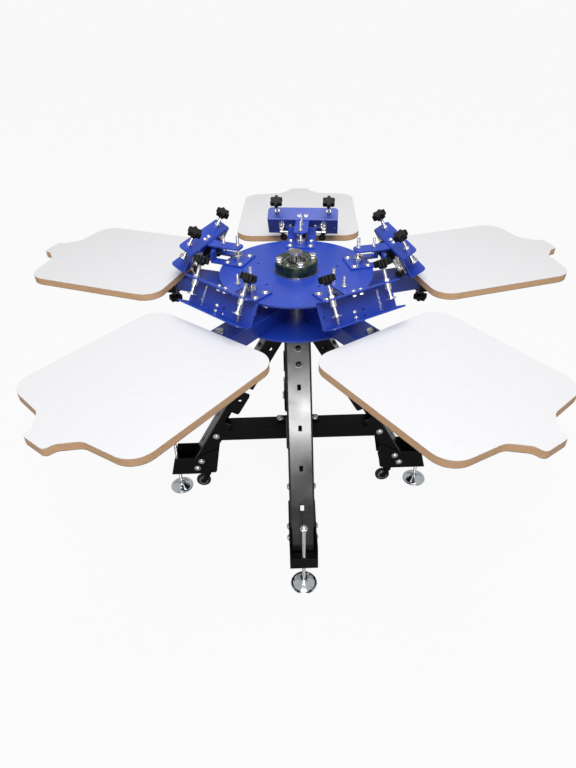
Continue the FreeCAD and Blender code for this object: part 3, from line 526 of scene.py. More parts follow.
def in_mm(points):
    """Points given in millimetres."""
    return [(across * MM, up * MM) for across, up in points]


def skin_rings(bm, rings, finish=0):
    """Closed skin over rings, flat at both ends."""
    for end in (list(reversed(rings[0])), rings[-1]):
        bm.faces.new(end).material_index = finish
    join_rings(bm, rings, finish)


def threaded_rod(bm, place, radius, pitch, length, segments):
    """Rod with a screw thread and two smooth ends, in the second finish."""
    depth = pitch * 0.32
    rounds = int(length / pitch * 4)
    rings = []
    for index in range(rounds + 1):
        height = length * index / rounds
        phases = [(height / pitch - step / segments) % 1.0 for step in range(segments)]
        if min(index, rounds - index) < 2:
            phases = [0.5] * segments
        reaches = [radius - depth * (1 - abs(2 * phase - 1)) for phase in phases]
        rings.append(new_ring(bm, place, reaches, height))
    skin_rings(bm, rings, 1)


for number in "1234":
    node = "levelling_foot_" + number
    low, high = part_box(node)
    place = shift((low.x + high.x) / 2, (low.y + high.y) / 2, 0)
    bm = bmesh.new()
    turned_mesh(bm, in_mm(PAD_POINTS), place, 64)
    threaded_rod(bm, place @ shift(0, 0, PAD_SOCKET), FOOT_ROD_RADIUS, FOOT_ROD_PITCH,
                 CAP_NUT_LOW + OVERLAP - PAD_SOCKET, 18)
    cap = place @ shift(0, 0, CAP_NUT_LOW)
    hex_nut(bm, cap, CAP_NUT_CORNER, CAP_NUT_HEIGHT, 1)
    skirt = [(0, CAP_NUT_HEIGHT - OVERLAP), (CAP_DOME, CAP_NUT_HEIGHT - OVERLAP)]
    turned_mesh(bm, skirt + dome_outline(CAP_DOME, CAP_DOME_HEIGHT, CAP_NUT_HEIGHT), cap, 28)
    new_piece(node, "levelling_pad_and_rod_" + number, node, bm,
              [chrome, zinc_plate])

# castors
# Small swivel castors sit behind the levelling feet. The forks are pressed
# steel, coated black, and the wheels are black rubber with plated dust caps.

FORK_EASE = 0.6 * MM
AXLE_BORE = 4.2 * MM


def moulded():
    """Even surface with a fine grain and clouds of a second colour: dust on most parts, painted sheen on
    the green casting.
    """
    group, given, place = start_skin("moulded_skin", ["Colour", "Dust and sheen"],
                                     ["Roughness", "Sheen and dust amount", "Grains per metre"])
    cloud = mottled_noise(group, place, 20 * MM, 4.0)
    fine = add_node(group, "ShaderNodeTexNoise")
    group.links.new(place, fine.inputs["Vector"])
    group.links.new(given["Grains per metre"], fine.inputs["Scale"])
    dust_and_sheen = sums(group, "MULTIPLY", spread(group, cloud, 0.4, 0.75), given["Sheen and dust amount"])
    colour = tint(group, dust_and_sheen, given["Colour"], given["Dust and sheen"])
    rough = sums(group, "ADD", given["Roughness"], spread(group, cloud, 0.3, 0.7, -0.06, 0.08))
    return end_skin(group, colour, rough, fine.outputs["Fac"])


moulded_skin = moulded()
castor_rubber = finish_material(
    "castor_rubber", moulded_skin,
    {"Colour": (0.016, 0.016, 0.017), "Dust and sheen": (0.1, 0.1, 0.1), "Roughness": 0.5,
     "Sheen and dust amount": 0.25, "Grains per metre": 900.0}, bump=0.25, depth=0.08 * MM)


def castor_tyre(low, high):
    """Rubber wheel with a crowned tread and a plated ring on each side."""
    axle = Vector((0, 1, 0)) if high.x - low.x > high.y - low.y else Vector((1, 0, 0))
    centre = (low + high) / 2
    half = min(high.x - low.x, high.y - low.y) / 2
    radius = (high.z - low.z) / 2
    flank = [(AXLE_BORE, 0.9), (radius * 0.42, 0.9), (radius * 0.5, 0.72), (radius * 0.62, 0.8)]
    tread = [(radius * (1 - 0.16 * share ** 4), share * half)
             for share in (-1, -0.86, -0.6, -0.25, 0.25, 0.6, 0.86, 1)]
    outline = ([(reach, -share * half) for reach, share in flank] + tread
               + [(reach, share * half) for reach, share in reversed(flank)])
    bm = bmesh.new()
    turned_mesh(bm, outline + outline[:1], aim(centre, axle), 48)
    cap = [(radius * 0.5, 0), (radius * 0.62, 0.4 * MM), (radius * 0.6, 1.2 * MM),
           (radius * 0.52, 1.0 * MM), (radius * 0.5, 0)]
    for side in (-1, 1):
        turned_mesh(bm, cap, aim(centre + axle * side * half * 0.76, axle * side), 40, 1)
    return bm


for number in "1234":
    node = "castor_fork_" + number
    eased_copy(node, "castor_yoke_" + number, node, [black_coat], FORK_EASE)
    node = "castor_wheel_" + number
    new_piece(node, "castor_tyre_" + number, node, castor_tyre(*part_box(node)),
              [castor_rubber, zinc_plate])

# lower turntable
# A round steel disc on a cast bearing housing carries five arms of folded
# channel with their bolts and stops. Disc and arms are powder coated blue.

DISC_EASE = 0.8 * MM
STOP_EASE = 1.2 * MM
ARM_BOLT_HEAD = 8.5 * MM

blue_coat = finish_material(
    "blue_powder_coat", powder_coat_skin,
    {"Colour": (0.014, 0.062, 0.52), "Rubbed": (0.1, 0.18, 0.55),
     "Roughness": 0.36, "Grain": 0.4, "Rub": 0.25}, bump=0.25, depth=0.1 * MM, specular=0.75)
# The lighter green clouds on this casting are painted sheen for the gleam of its glossy paint, not dust.
green_casting = finish_material(
    "green_painted_casting", moulded_skin,
    {"Colour": (0.006, 0.017, 0.01), "Dust and sheen": (0.12, 0.17, 0.08), "Roughness": 0.24,
     "Sheen and dust amount": 0.5, "Grains per metre": 260.0}, bump=0.6, depth=0.7 * MM, specular=0.35)

eased_copy("lower_disc", "lower_round_plate", "lower_turntable", [blue_coat], DISC_EASE)
eased_copy("pallet_arms", "arm_channels", "lower_turntable", [blue_coat])
eased_copy("lower_bearing", "lower_bearing_housing", "lower_turntable",
           [green_casting], DISC_EASE)

bolt_forms = node_form("arm_bolts")
seats = []
for solid in solids_of(bolt_forms):
    low, high = corners_of(solid)
    seats.append(((low.x + high.x) / 2, (low.y + high.y) / 2, low.z))
bolt_forms.free()
bm = bmesh.new()
for seat in sorted(seats):
    button_bolt(bm, shift(*seat), ARM_BOLT_HEAD)
new_piece("arm_bolts", "arm_bolt_set", "lower_turntable", bm, [zinc_plate])
eased_copy("pallet_stops", "pallet_buffers", "lower_turntable", [zinc_plate],
           STOP_EASE)

# pallets
# Printing boards of 22 mm with white laminate above and a sanded edge, each
# held to its arm by a folded saddle underneath. The underside and a thin band
# at the foot of the edge are dark brown painted shade.

BOARD = 22 * MM
LAMINATE = 1.0 * MM
UNDERSIDE_SHADE_BAND = 1.6 * MM
BOARD_EASE = 0.6 * MM
SADDLE_DEPTH = 40 * MM


def board_edge_skin():
    """Fine level layers and fibres of a sanded board edge."""
    group, given, place = start_skin("board_edge_skin", ["Colour", "Dark"], ["Roughness"])
    layers = level_layers(group, place, 14.0, 40 * MM, 5.0)
    fibre = mottled_noise(group, place, 2.5 * MM, 3.0)
    mask = sums(group, "ADD", spread(group, layers, 0.35, 0.7, 0.0, 0.55),
                spread(group, fibre, 0.4, 0.7, 0.0, 0.2))
    colour = tint(group, mask, given["Colour"], given["Dark"])
    rough = sums(group, "ADD", given["Roughness"], spread(group, fibre, 0.3, 0.7, -0.05, 0.08))
    return end_skin(group, colour, rough, sums(group, "ADD", layers, fibre))


board_edge = finish_material(
    "sanded_board_edge", board_edge_skin(),
    {"Colour": (0.95, 0.6, 0.34), "Dark": (0.78, 0.45, 0.23), "Roughness": 0.55}, bump=0.3, depth=0.2 * MM)
# Dark brown for the underside and the foot of the edge: painted shade.
underside_shade_coat = finish_material(
    "painted_underside_shade", powder_coat_skin,
    {"Colour": (0.05, 0.035, 0.026), "Rubbed": (0.12, 0.09, 0.06), "Roughness": 0.5,
     "Grain": 0.3, "Rub": 0.2}, bump=0.1, depth=0.05 * MM)
white_laminate = finish_material(
    "white_laminate", moulded_skin,
    {"Colour": (0.85, 0.85, 0.865), "Dust and sheen": (0.79, 0.79, 0.81), "Roughness": 0.34,
     "Sheen and dust amount": 0.4, "Grains per metre": 500.0}, bump=0.06, depth=0.05 * MM)


def board_finish(low, high, face):
    """Laminate above, painted shade below, bare edge between, and a coated saddle."""
    if high.z - low.z > SADDLE_DEPTH:
        return 2
    if face.normal.z > FACES_UP:
        return 0
    return 3 if face.normal.z < -FACES_UP else 1


def laminated_board(node):
    """Board and saddle, the laminate above and the painted shade below cut off along the edge."""
    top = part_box(node)[1].z
    bm = eased_form(node, BOARD_EASE, board_finish)
    # The top band of the edge takes the laminate, the bottom band the painted shade.
    for height, way, finish in ((top - LAMINATE, 1, 0), (top - BOARD + UNDERSIDE_SHADE_BAND, -1, 3)):
        bmesh.ops.bisect_plane(bm, geom=bm.verts[:] + bm.edges[:] + bm.faces[:],
                               plane_co=(0, 0, height), plane_no=(0, 0, 1), dist=0.01 * MM)
        for face in bm.faces:
            if face.material_index == 1 and way * (face.calc_center_median().z - height) > 0:
                face.material_index = finish
    return bm


for number in "12345":
    node = "pallet_" + number
    new_piece(node, "printing_board_" + number, node, laminated_board(node),
              [white_laminate, board_edge, black_coat, underside_shade_coat])

# lock knobs
# Under each pallet a moulded star knob on a square stem screws the saddle to
# its arm. The knob is black plastic on a plated screw.

ROW_STEP = 72
LOWER_REST = 87
KNOB_NECK = 6 * MM
LOCK_KNOB_RADIUS = 23 * MM
LOCK_KNOB_HEIGHT = 20 * MM
STEM_CORNER = 11.2 * MM
STEM_CHAMFER = 0.64 * MM
STEM_HEIGHT = 24 * MM
STEM_RIM = 1 * MM
SCREW_RADIUS = 5 * MM
SCREW_PITCH = 1.5 * MM

knob_plastic = finish_material(
    "knob_plastic", moulded_skin,
    {"Colour": (0.006, 0.006, 0.0065), "Dust and sheen": (0.04, 0.04, 0.04), "Roughness": 0.36,
     "Sheen and dust amount": 0.15, "Grains per metre": 1400.0}, bump=0.2, depth=0.06 * MM, specular=0.2)


def fluted_form(bm, place, outline, flutes, depth, steps_per_flute):
    """Closed form of rings (radius, height, share) that wave around an axis."""
    waves = [math.cos(2 * math.pi * step / steps_per_flute)
             for step in range(steps_per_flute * flutes)]
    waves = [math.copysign(abs(wave) ** 0.75, wave) for wave in waves]
    skin_rings(bm, [new_ring(bm, place, [reach * (1 - depth * share * (1 - wave) / 2)
                                         for wave in waves], rise)
                    for reach, rise, share in outline])


def star_grip(bm, place, radius, height):
    """Moulded star knob: a neck, six deep lobes and a flat raised cap."""
    neck = [(0.44, 0), (0.46, 0.15 * KNOB_NECK), (0.52, 0.8 * KNOB_NECK)]
    lobes = [(0.6, 0, 0.3), (0.9, 0, 1), (0.965, 0.05, 1), (1.0, 0.14, 1), (1.0, 0.78, 1),
             (0.965, 0.9, 1), (0.9, 0.96, 1), (0.62, 0.97, 0.5), (0.56, 0.97, 0), (0.54, 1, 0),
             (0.4, 1, 0), (0.1, 1, 0)]
    outline = [(radius * reach, rise, 0) for reach, rise in neck]
    outline += [(radius * reach, KNOB_NECK + rise * height, share) for reach, rise, share in lobes]
    fluted_form(bm, place, outline, 6, 0.3, 12)


for number in "12345":
    node = "pallet_knob_" + number
    low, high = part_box(node)
    stem_low = low.z + LOCK_KNOB_HEIGHT + KNOB_NECK
    place = shift((low.x + high.x) / 2, (low.y + high.y) / 2, stem_low)
    row = turn(LOWER_REST + ROW_STEP * (int(number) - 1))
    bm = bmesh.new()
    star_grip(bm, place @ aim((0, 0, 0), (0, 0, -1)), LOCK_KNOB_RADIUS, LOCK_KNOB_HEIGHT)
    square = [(0, 0), (STEM_CORNER - STEM_CHAMFER, 0), (STEM_CORNER, STEM_RIM),
              (STEM_CORNER, STEM_HEIGHT - STEM_RIM), (STEM_CORNER - STEM_CHAMFER, STEM_HEIGHT),
              (0, STEM_HEIGHT)]
    turned_mesh(bm, square, place @ row @ turn(45), 4)
    screw_low = STEM_HEIGHT - OVERLAP
    threaded_rod(bm, place @ shift(0, 0, screw_low), SCREW_RADIUS, SCREW_PITCH,
                 high.z - stem_low - screw_low, 16)
    new_piece(node, "lock_knob_" + number, node, bm, [knob_plastic, zinc_plate])

# upper turntable
# A second blue disc turns above the first. It carries the green painted hub
# casting and five bent bases, with their hinge pins, for the print heads.

PLATE_EASE = 0.6 * MM
SHAFT_BORE = 20.1 * MM
PEG_RADIUS = 4 * MM
PEG_REACH = 130 * MM
PEG_TURN = 10
CUT_OVERRUN = 1 * MM
HUB_EASE = 1.2 * MM
HUB_FLANGE = 5.2 * MM
BASE_EASE = 0.7 * MM
PIN_EASE = 0.5 * MM
HUB_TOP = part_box("hub_casting")[1].z


def prism(bm, outline, place, length, finish=0):
    """Straight bar whose ends are a flat outline of (x, y) points."""
    ends = [[bm.verts.new(place @ Vector((x, y, height))) for x, y in outline]
            for height in (0, length)]
    skin_rings(bm, ends, finish)


def round_outline(radius, along):
    """Circle of the given radius whose middle lies along X."""
    angles = [2 * math.pi * step / 20 for step in range(20)]
    return [(along + radius * math.cos(angle), radius * math.sin(angle)) for angle in angles]


def cut_mesh(base, tool, operation="DIFFERENCE"):
    """What is left of one closed form after another is cut from it."""
    pair = [add_object("rough_form", closed_mesh("rough_form", bm)) for bm in (base, tool)]
    cutter = pair[0].modifiers.new("cut", "BOOLEAN")
    cutter.operation = operation
    cutter.solver = "EXACT"
    cutter.object = pair[1]
    bpy.context.view_layer.update()
    left = bmesh.new()
    left.from_object(pair[0], bpy.context.evaluated_depsgraph_get())
    for rough in pair:
        bpy.data.objects.remove(rough)
    return left


def peg_plate():
    """Disc with a bore for the shaft and five small peg holes."""
    low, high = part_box("upper_disc")
    rim = (high.x - low.x) / 2
    plate = bmesh.new()
    turned_mesh(plate, [(SHAFT_BORE, low.z), (rim, low.z), (rim, high.z), (SHAFT_BORE, high.z),
                        (SHAFT_BORE, low.z)], Matrix.Identity(4), 160)
    pegs = bmesh.new()
    for index in range(5):
        prism(pegs, round_outline(PEG_RADIUS, PEG_REACH),
              turn(PEG_TURN + ROW_STEP * index) @ shift(0, 0, low.z - CUT_OVERRUN),
              high.z - low.z + 2 * CUT_OVERRUN)
    bm = cut_mesh(plate, pegs)
    ease_edges(bm, PLATE_EASE)
    return bm


def hub_finish(low, high, face):
    """The flange at the foot of the casting is bare bright metal."""
    on_flange = face.calc_center_median().z < low.z + HUB_FLANGE
    return 1 if on_flange and face.normal.z > -0.5 else 0


new_piece("upper_disc", "upper_round_plate", "upper_turntable", peg_plate(),
          [blue_coat])
eased_copy("hub_casting", "hub_housing", "upper_turntable",
           [green_casting, zinc_plate], HUB_EASE, hub_finish)
eased_copy("head_bases", "bent_head_bases", "upper_turntable", [blue_coat], BASE_EASE)
eased_copy("hinge_pins", "head_hinge_pins", "upper_turntable", [zinc_plate],
           PIN_EASE)

# hub bearing
# A ball bearing pressed into the casting: a bright outer race, a thin steel
# ring on a black seal, and a black inner race.

low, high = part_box("hub_bearing")
BEARING_LOW = low.z
BEARING_TOP = high.z
BEARING_RADIUS = (high.x - low.x) / 2
SEAL_OUTER = 35.4 * MM
RING_OUTER = 33 * MM
RING_INNER = 31.4 * MM
RACE_OUTER = 24 * MM
RING_EASE = 0.4 * MM
SEAL_DROP = 2 * MM
RING_DROP = 1 * MM
RACE_DROP = 0.4 * MM

bm = bmesh.new()
for inner, outer, drop, finish in ((SEAL_OUTER, BEARING_RADIUS, 0, 0),
                                   (RING_OUTER, SEAL_OUTER, SEAL_DROP, 1),
                                   (RING_INNER, RING_OUTER, RING_DROP, 0),
                                   (RACE_OUTER, RING_INNER, SEAL_DROP, 1),
                                   (SHAFT_BORE, RACE_OUTER, RACE_DROP, 1)):
    top = BEARING_TOP - drop
    ring = [(inner, BEARING_LOW), (outer, BEARING_LOW), (outer, top - RING_EASE),
            (outer - RING_EASE, top), (inner + RING_EASE, top), (inner, top - RING_EASE),
            (inner, BEARING_LOW)]
    turned_mesh(bm, ring, Matrix.Identity(4), 72, finish)
new_piece("hub_bearing", "hub_ball_bearing", "upper_turntable", bm,
          [zinc_plate, knob_plastic])

# upper bolts and stop cups
# Four hexagon bolts hold the casting and four socket bolts each head base.
# The stop cups are turned steel with six slots milled across the rim.

UPPER_REST = 83.5
BASE_TOP = 928 * MM
HUB_BOLT_REACH = 52.5 * MM
HUB_BOLT_TURN = 12
HUB_BOLT_CORNER = 11.8 * MM
HUB_BOLT_HEIGHT = 8.4 * MM
HUB_WASHER_POINTS = ((0, 0), (12, 0), (12.3, 1), (11.6, 1.8), (0, 1.8))
HUB_WASHER_SEAT = 1.6 * MM
NIPPLE_REACH = 56 * MM
NIPPLE_TURN = 241
NIPPLE_POINTS = ((0, 0), (3.4, 0), (3.4, 2), (2, 3), (2.4, 5), (1.6, 6.4), (0, 6.8))
BASE_BOLT_HEAD = 8 * MM
BASE_BOLT_REACHES = (176 * MM, 219 * MM)
BASE_BOLT_SIDE = 34 * MM
CUP_REACH = 197 * MM
CUP_POINTS = ((0, 0), (13, 0), (14, 1), (14, 15.6), (12.8, 17), (9.4, 17), (8.5, 16), (8.5, 5), (0, 5))
CUP_SLOT_LOW = 10 * MM
CUP_SLOT_STEP = 0.01 * MM
CUP_SLOT_HALF = 2 * MM
CUP_SLOT_REACH = 20 * MM
CUP_SLOT_HEIGHT = 12 * MM


def upper_row(number):
    """Turn of a print head's row, from 1 to 5."""
    return turn(UPPER_REST + ROW_STEP * (int(number) - 1))


def block_outline(x_low, x_high, y_low, y_high):
    """Rectangle, its corners in order."""
    return [(x_low, y_low), (x_high, y_low), (x_high, y_high), (x_low, y_high)]


def add_copy(bm, mesh, place):
    """Add a copy of a finished mesh to a form, at another place."""
    moved = mesh.copy()
    moved.transform(place)
    bm.from_mesh(moved)


def castle_cup():
    """Turned cup with three slots across its rim, one a hair above the next."""
    cup = bmesh.new()
    turned_mesh(cup, in_mm(CUP_POINTS), Matrix.Identity(4), 48)
    bars = bmesh.new()
    for index in range(3):
        prism(bars, block_outline(-CUP_SLOT_REACH, CUP_SLOT_REACH, -CUP_SLOT_HALF, CUP_SLOT_HALF),
              turn(60 * index) @ shift(0, 0, CUP_SLOT_LOW + CUP_SLOT_STEP * index), CUP_SLOT_HEIGHT)
    return closed_mesh("castle_cup", cut_mesh(cup, bars))


cup_mesh = castle_cup()
bm = bmesh.new()
for index in range(4):
    spot = turn(HUB_BOLT_TURN + 90 * index) @ Vector((HUB_BOLT_REACH, 0, HUB_TOP))
    place = aim(spot, (0, 0, 1))
    turned_mesh(bm, in_mm(HUB_WASHER_POINTS), place, 32)
    hex_nut(bm, place @ shift(0, 0, HUB_WASHER_SEAT), HUB_BOLT_CORNER, HUB_BOLT_HEIGHT)
turned_mesh(bm, in_mm(NIPPLE_POINTS), turn(NIPPLE_TURN) @ shift(NIPPLE_REACH, 0, HUB_TOP), 20)
for number in "12345":
    row = upper_row(number)
    for reach in BASE_BOLT_REACHES:
        for side in (-BASE_BOLT_SIDE, BASE_BOLT_SIDE):
            # The black second finish in the bolts' sockets is painted shade.
            button_bolt(bm, row @ shift(reach, side, BASE_TOP), BASE_BOLT_HEAD, 0, 1)
    add_copy(bm, cup_mesh, row @ shift(CUP_REACH, 0, BASE_TOP))
new_piece("upper_bolts", "upper_bolt_set", "upper_turntable", bm,
          [zinc_plate, knob_plastic])

# print heads
# Each frame clamp is a channel folded from 3.5 mm sheet that opens outward,
# slotted and drilled in the web. A bent tongue reaches inward through the web.

CHANNEL_BACK = 300 * MM
CHANNEL_FRONT = 352 * MM
CHANNEL_LOW = 888 * MM
CHANNEL_TOP = 964 * MM
CHANNEL_HALF = 121 * MM
CHANNEL_SHEET = 3.5 * MM
CHANNEL_EASE = 0.5 * MM
BEND_INSIDE = 2.5 * MM
FLANGE_ROUND = 13 * MM
FLANGE_MARGIN = 5 * MM
TONGUE_HALF = 23.5 * MM
TONGUE_SHEET = 5 * MM
TONGUE_EASE = 0.7 * MM
LONGEST_TONGUE = 200 * MM
WINDOW_ROOM = 0.5 * MM
WINDOW_GAP = 0.05 * MM
WEB_SLOT_OFFSET = 70.5 * MM
WEB_SLOT_HALF = 3.5 * MM
WEB_SLOT_ROUND = 3.4 * MM
WEB_SLOT_LOW = 893 * MM
WEB_SLOT_HIGH = 953 * MM
WEB_HOLE_HALF = 3.2 * MM
WEB_HOLE_ROUND = 3.1 * MM
WEB_BOLT_SIDE = 14 * MM
WEB_BOLT_HEIGHTS = (911 * MM, 895.5 * MM)
WEB_HOLES = [(WEB_BOLT_SIDE, height) for height in WEB_BOLT_HEIGHTS] + [(-110 * MM, 922 * MM)]
PIVOT = Vector((275 * MM, 0, 950 * MM))
LIFT = math.radians(30)
ACROSS_WEB = Matrix(((0, 0, 1, 0), (1, 0, 0, 0), (0, 1, 0, 0), (0, 0, 0, 1)))
THROUGH_WEB = shift(CHANNEL_BACK - CUT_OVERRUN, 0, 0) @ ACROSS_WEB
ALONG_HEAD = Matrix.Rotation(math.pi / 2, 4, "X")


def head_place(number):
    """From a head's printing position, row outward on X, to its raised rest."""
    lift = shift(*PIVOT) @ Matrix.Rotation(-LIFT, 4, "Y") @ shift(*-PIVOT)
    return upper_row(number) @ lift


def rounded_outline(corners, radii, steps=5):
    """Flat outline whose corners are rounded by a radius each."""
    points = []
    for index, (corner, radius) in enumerate(zip(corners, radii)):
        middle = Vector(corner)
        if not radius:
            points.append(middle)
            continue
        back = (Vector(corners[index - 1]) - middle).normalized()
        ahead = (Vector(corners[(index + 1) % len(corners)]) - middle).normalized()
        half = back.angle(ahead) / 2
        centre = middle + (back + ahead).normalized() * radius / math.sin(half)
        start = middle + back * radius / math.tan(half) - centre
        end = middle + ahead * radius / math.tan(half) - centre
        sweep = math.pi - 2 * half
        for step in range(steps + 1):
            before = math.sin((1 - step / steps) * sweep)
            after = math.sin(step / steps * sweep)
            points.append(centre + (start * before + end * after) / math.sin(sweep))
    return [(point.x, point.y) for point in points]


def folded_channel():
    """The channel as it is folded, before its corners and holes are cut."""
    wall = CHANNEL_SHEET
    outer = BEND_INSIDE + wall
    corners = [(CHANNEL_FRONT, CHANNEL_LOW), (CHANNEL_FRONT, CHANNEL_LOW + wall),
               (CHANNEL_BACK + wall, CHANNEL_LOW + wall), (CHANNEL_BACK + wall, CHANNEL_TOP - wall),
               (CHANNEL_FRONT, CHANNEL_TOP - wall), (CHANNEL_FRONT, CHANNEL_TOP),
               (CHANNEL_BACK, CHANNEL_TOP), (CHANNEL_BACK, CHANNEL_LOW)]
    bm = bmesh.new()
    prism(bm, rounded_outline(corners, [0, 0, BEND_INSIDE, BEND_INSIDE, 0, 0, outer, outer]),
          shift(0, CHANNEL_HALF, 0) @ ALONG_HEAD, 2 * CHANNEL_HALF)
    return bm


def web_openings():
    """Two long slots, the tongue's window and three small holes in the web."""
    bm = bmesh.new()
    depth = CHANNEL_SHEET + 2 * CUT_OVERRUN
    for side in (-WEB_SLOT_OFFSET, WEB_SLOT_OFFSET):
        slot = block_outline(side - WEB_SLOT_HALF, side + WEB_SLOT_HALF, WEB_SLOT_LOW, WEB_SLOT_HIGH)
        prism(bm, rounded_outline(slot, [WEB_SLOT_ROUND] * 4), THROUGH_WEB, depth)
    under = CHANNEL_TOP - CHANNEL_SHEET
    prism(bm, block_outline(-TONGUE_HALF, TONGUE_HALF, under - TONGUE_SHEET - WINDOW_ROOM,
                            under - WINDOW_GAP), THROUGH_WEB, depth)
    for along, height in WEB_HOLES:
        hole = block_outline(along - WEB_HOLE_HALF, along + WEB_HOLE_HALF, height - WEB_HOLE_HALF,
                             height + WEB_HOLE_HALF)
        prism(bm, rounded_outline(hole, [WEB_HOLE_ROUND] * 4), THROUGH_WEB, depth)
    return bm


def clamp_channel():
    """Folded channel with rounded flange corners, slots, holes and window."""
    blank = bmesh.new()
    sheet = block_outline(CHANNEL_BACK - FLANGE_MARGIN, CHANNEL_FRONT, -CHANNEL_HALF, CHANNEL_HALF)
    prism(blank, rounded_outline(sheet, [0, FLANGE_ROUND, FLANGE_ROUND, 0], 8),
          shift(0, 0, CHANNEL_LOW - FLANGE_MARGIN), CHANNEL_TOP - CHANNEL_LOW + 2 * FLANGE_MARGIN)
    trimmed = cut_mesh(folded_channel(), blank, "INTERSECT")
    bm = cut_mesh(trimmed, web_openings())
    ease_edges(bm, CHANNEL_EASE)
    return closed_mesh("clamp_channel", bm)


def is_channel(low, high):
    """The channel is by far the longest solid of a head; it is made anew."""
    return (high - low).length > LONGEST_TONGUE


channel_mesh = clamp_channel()
for number in "12345":
    node = "print_head_" + number
    bm = eased_form(node, TONGUE_EASE, None, is_channel)
    add_copy(bm, channel_mesh, head_place(number))
    new_piece(node, "frame_clamp_" + number, "head_" + number, bm, [blue_coat])

# head fittings
# Behind each clamp sit a moulded black carriage block on a plated slide rod,
# two plated angle brackets, three ribbed black knobs and the plated stop screws.

FITTING_EASE = 0.7 * MM
BLOCK_HALF = 16 * MM
BLOCK_BACK = 282 * MM
BLOCK_LOW = 905 * MM
BARREL = 13 * MM
BRACKET_INNER = 64 * MM
BRACKET_OUTER = 82.5 * MM
BRACKET_LOW = 889 * MM
BRACKET_HIGH = 951 * MM
BRACKET_SHEET = 3.5 * MM
BRACKET_ROUND = 3 * MM
LEAF_BACK = 283 * MM
LEAF_FRONT = 298 * MM
LEAF_LOW = 897 * MM
LEAF_HIGH = 945 * MM
LEAF_ROUND = 4 * MM
BRACKET_BOLT_SIDE = 74 * MM
BRACKET_BOLT_HEIGHTS = (936 * MM, 908 * MM)
SMALL_BOLT_HEAD = 5 * MM
WEB_BOLT_HEAD = 4.6 * MM
REAR_BOLT_SIDE = 43 * MM
REAR_BOLT_HEIGHT = 932.5 * MM
SLOT_STUD_POINTS = ((0, 0), (4, 0), (4, 4), (3.2, 5.4), (0, 5.8))
TONGUE_BOLT_REACH = 317 * MM
TONGUE_BOLT_SIDE = 11.5 * MM
TONGUE_BOLT_HEAD = 6 * MM
TONGUE_NUT_CORNER = 6.5 * MM
SMALL_NUT_HEIGHT = 5 * MM
HAND_SCREW_REACH = 332 * MM
HAND_SCREW_SIDE = 88.5 * MM
BUSH_BORE = 5.4 * MM
BUSH_RADIUS = 8 * MM
BUSH_LOW = 942.5 * MM
BUSH_CHAMFER_HIGH = 943.4 * MM
BUSH_CHAMFER = 0.6 * MM
BUSH_NUT_CORNER = 9 * MM
BUSH_NUT_HEIGHT = 7 * MM
TONGUE_TOP = 969.34 * MM
# Distance from the shaft, radius, foot and top of the two upright screws.
LIFT_ROD = (CUP_REACH, 5 * MM, 933.4 * MM, 1003.3 * MM)
OFF_CONTACT_SCREW = (247 * MM, 4 * MM, 948.3 * MM, 1000 * MM)
STOP_NUT_CORNER = 8 * MM
STOP_NUT_HEIGHT = 5.5 * MM
SLIDE_ROD = 4.2 * MM
SLIDE_ROD_HALF = 80 * MM
SLIDE_ROD_REACH = 290 * MM
SLIDE_ROD_HEIGHT = 911 * MM
SLIDE_ROD_CHAMFER = 0.8 * MM
BLOCK_KNOB_PLACE = Vector((BLOCK_BACK, 0, 914 * MM))
SIDE_KNOB_PLACE = Vector((284 * MM, 68 * MM, 897 * MM))
# Radius and height of the ribbed knobs.
BLOCK_KNOB = (13 * MM, 15 * MM)
SIDE_KNOB = (12 * MM, 14 * MM)


def ribbed_knob(bm, place, radius, height):
    """Round moulded knob with fine ribs around its rim."""
    shares = [(0.5, 0, 0), (0.9, 0, 1), (1.0, 0.1, 1), (1.0, 0.82, 1), (0.92, 0.93, 1),
              (0.8, 0.96, 0), (0.7, 1.0, 0), (0.1, 1.0, 0)]
    outline = [(radius * reach, height * rise, share) for reach, rise, share in shares]
    fluted_form(bm, place, outline, 18, 0.12, 4)


def carriage_block(bm):
    """Black block whose barrel swings on the hinge pin."""
    outline = [(CHANNEL_BACK, BLOCK_LOW), (CHANNEL_BACK, PIVOT.z), (PIVOT.x + BARREL, PIVOT.z)]
    for step in range(1, 19):
        angle = math.radians(15 * step)
        outline.append((PIVOT.x + BARREL * math.cos(angle), PIVOT.z + BARREL * math.sin(angle)))
    outline += [(BLOCK_BACK, PIVOT.z - BARREL), (BLOCK_BACK, BLOCK_LOW)]
    prism(bm, outline, shift(0, BLOCK_HALF, 0) @ ALONG_HEAD, 2 * BLOCK_HALF)


def angle_bracket(bm, side):
    """Plated angle: a plate on the web behind a slot, and a leaf for the rod."""
    inner, outer = sorted((side * BRACKET_INNER, side * BRACKET_OUTER))
    plate = rounded_outline(block_outline(inner, outer, BRACKET_LOW, BRACKET_HIGH),
                            [BRACKET_ROUND] * 4)
    prism(bm, plate, shift(CHANNEL_BACK - BRACKET_SHEET, 0, 0) @ ACROSS_WEB, BRACKET_SHEET, 1)
    leaf = rounded_outline(block_outline(LEAF_BACK, LEAF_FRONT, LEAF_LOW, LEAF_HIGH),
                           [LEAF_ROUND, 0, 0, LEAF_ROUND])
    start = max(side * BRACKET_INNER, side * (BRACKET_INNER + BRACKET_SHEET))
    prism(bm, leaf, shift(0, start, 0) @ ALONG_HEAD, BRACKET_SHEET, 1)


